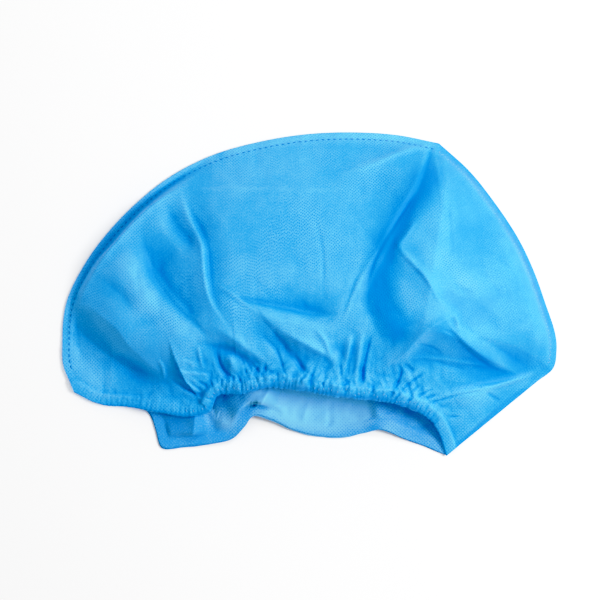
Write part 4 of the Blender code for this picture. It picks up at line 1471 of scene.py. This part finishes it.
class CAP_OT_stitches(bpy.types.Operator):
    """Sew the crown seam and the near hem"""

    bl_idname = "cap.stitches"
    bl_label = "Stitches"

    def execute(self, context):
        look = context.scene.cap_look
        panel = panel_plan(NEAR_HEM)
        height = partial(near_height, panel=panel, casing=near_casing(look))
        # The same thread in two copies: darker for the seam as painted shade, paler for the back
        # and the hem as a painted glint
        dark = thread_finish("seam_thread_painted_shade", look.shaded_thread_colour)
        pale = thread_finish("back_thread_painted_glint", look.glint_thread_colour)
        way = np.gradient(panel.seam, axis=0)
        way /= np.linalg.norm(way, axis=1)[:, None]
        line = panel.seam + STITCH_LINE * np.column_stack([way[:, 1], -way[:, 0]])
        line = line[STITCH_FROM:STITCH_TO]
        run = run_of(line)
        tip = run[np.argmin(np.hypot(*(line - place([CROWN[-1]])[0]).T))]
        at = np.arange(look.stitch_pitch, tip - STITCH_END, look.stitch_pitch)
        self.sew("crown_stitches", line, at, 0.0 * at, 0.0019, 0.00028, height, dark)
        at = np.arange(tip + 1.5 * STITCH_END, run[-1] - STITCH_END, 0.62 * look.stitch_pitch)
        slant = np.where(np.arange(len(at)) % 2, 0.7, -0.7)
        self.sew("back_stitches", line, at, slant, 0.0021, 0.00020, height, pale)
        piece = self.catch_hem(panel, height, look, pale)
        return {"FINISHED"}

    def sew(self, name, line, at, turn, length, radius, height, material):
        """Stitches on the near cloth at the runs along the line, each turned off its direction."""
        point = at_runs(at, line)
        ahead = at_runs(at + 0.0005, line) - point
        ahead /= np.linalg.norm(ahead, axis=1)[:, None]
        way = turned_by(turn, ahead)
        rise = (height(point + 0.0008 * way) - height(point - 0.0008 * way)) / 0.0016
        centre = np.column_stack([point, height(point) + STITCH_LIFT])
        way = np.column_stack([way, rise])
        piece = add_stitches(name, centre, way, length, radius, material)

    def catch_hem(self, panel, height, look, material):
        """Stray stitches over the gathered part of the near hem, each lying its own way."""
        run = run_of(panel.outer)
        at = np.arange(0.012, run[-1] - 0.035, 0.9 * look.gather_pitch)
        at = at + 0.0008 * wander(at, 0.002, 51)
        at = at[(np.interp(at, run, panel.outer[:, 3]) > 0.55) & (wander(at, 0.0013, 54) > -0.35)]
        share = 0.2 + 0.6 * wander(at, 0.003, 52)
        way = np.column_stack([np.interp(at, run, panel.way[:, k]) for k in (0, 1)])
        point = at_runs(at, panel.outer) + HEM_BAND / 2 * (1.0 + share[:, None]) * way
        centre = np.column_stack([point, height(point) + STITCH_LIFT])
        way = np.column_stack([turned_by(0.5 * wander(at, 0.002, 53), way), 0.0 * at])
        piece = add_stitches("hem_stitches", centre, way, 0.0017, 0.00018, material)
        return piece


class CAP_OT_stage(bpy.types.Operator):
    """Set the floor, the soft studio light and the camera"""

    bl_idname = "cap.stage"
    bl_label = "Stage"

    def execute(self, context):
        scene = context.scene
        corners = [(x * FLOOR_HALF, y * FLOOR_HALF, 0.0) for x, y in FLOOR_CORNERS]
        mesh = bpy.data.meshes.new("floor")
        mesh.from_pydata(corners, [], [(0, 1, 2, 3)])
        finish = Finish("floor_finish")
        finish.set(Base_Color=(0.985, 0.985, 0.985, 1.0), Roughness=0.9, Specular_IOR_Level=0.0)
        mesh.materials.append(finish.material)
        floor = bpy.data.objects.new("floor", mesh)
        scene.collection.objects.link(floor)
        world = bpy.data.worlds.new("studio")
        world.use_nodes = True
        sky = world.node_tree.nodes["Background"]
        sky.inputs["Color"].default_value = (1.0, 1.0, 1.0, 1.0)
        sky.inputs["Strength"].default_value = SKY
        scene.world = world
        self.add_lamp(scene, KEY)
        glow = self.add_lamp(scene, GLOW)
        glow.light_linking.blocker_collection = self.see_through()
        self.add_camera(scene)
        self.set_response(scene.view_settings)
        return {"FINISHED"}

    def set_response(self, view):
        """A camera's response: darks a little deeper, brights rolled off, the floor white."""
        view.view_transform = "Standard"
        view.use_curve_mapping = True
        curve = view.curve_mapping
        curve.white_level = (WHITE_LEVEL, WHITE_LEVEL, WHITE_LEVEL)
        points = curve.curves[3].points
        points[0].location = (0.0, 0.0)
        points[1].location = (1.0, 1.0)
        for light, shown in RESPONSE:
            points.new(light / WHITE_LEVEL, shown)
        curve.update()

    def add_lamp(self, scene, lamp):
        light = bpy.data.lights.new(lamp.name, "AREA")
        light.shape = "DISK"
        light.size = lamp.size
        light.energy = lamp.watts
        body = bpy.data.objects.new(lamp.name, light)
        body.location = lamp.place
        body.rotation_euler = (-Vector(lamp.place)).to_track_quat("-Z", "Y").to_euler()
        scene.collection.objects.link(body)
        return body

    def see_through(self):
        """The near side's pieces: thin cloth, which the glow passes to light the opening."""
        thin = bpy.data.collections.new("see_through")
        for name in THIN_PIECES:
            thin.objects.link(bpy.data.objects[name])
        for item in thin.collection_objects:
            item.light_linking.link_state = "EXCLUDE"
        return thin

    def add_camera(self, scene):
        """A long lens straight above, framed so that the plan has the photograph's place."""
        lens = bpy.data.cameras.new("camera")
        lens.lens = LENS_MM
        lens.sensor_width = SENSOR_MM
        camera = bpy.data.objects.new("camera", lens)
        height = SEEN_ACROSS * LENS_MM / SENSOR_MM
        camera.matrix_world = Matrix.Translation((*SEEN_MIDDLE, height))
        scene.collection.objects.link(camera)
        scene.camera = camera


class CAP_PT_sidebar(bpy.types.Panel):
    """The cap's pieces in the 3D view's sidebar"""

    bl_idname = "CAP_PT_sidebar"
    bl_label = "Surgical cap"
    bl_space_type = "VIEW_3D"
    bl_region_type = "UI"
    bl_category = "Cap"

    def draw(self, context):
        for name in CapLook.__annotations__:
            self.layout.prop(context.scene.cap_look, name)
        for step in STEPS:
            self.layout.operator(step.bl_idname)


STEPS = (
    CAP_OT_far_side, CAP_OT_near_side, CAP_OT_far_hem, CAP_OT_near_hem, CAP_OT_stitches,
    CAP_OT_stage)


def register():
    for each in (CapLook, *STEPS, CAP_PT_sidebar):
        bpy.utils.register_class(each)
    bpy.types.Scene.cap_look = PointerProperty(type=CapLook)


def unregister():
    del bpy.types.Scene.cap_look
    for each in (CAP_PT_sidebar, *reversed(STEPS), CapLook):
        bpy.utils.unregister_class(each)


def main():
    register()
    bpy.ops.cap.far_side()
    bpy.ops.cap.near_side()
    bpy.ops.cap.far_hem()
    bpy.ops.cap.near_hem()
    bpy.ops.cap.stitches()
    bpy.ops.cap.stage()


if __name__ == "__main__":
    main()
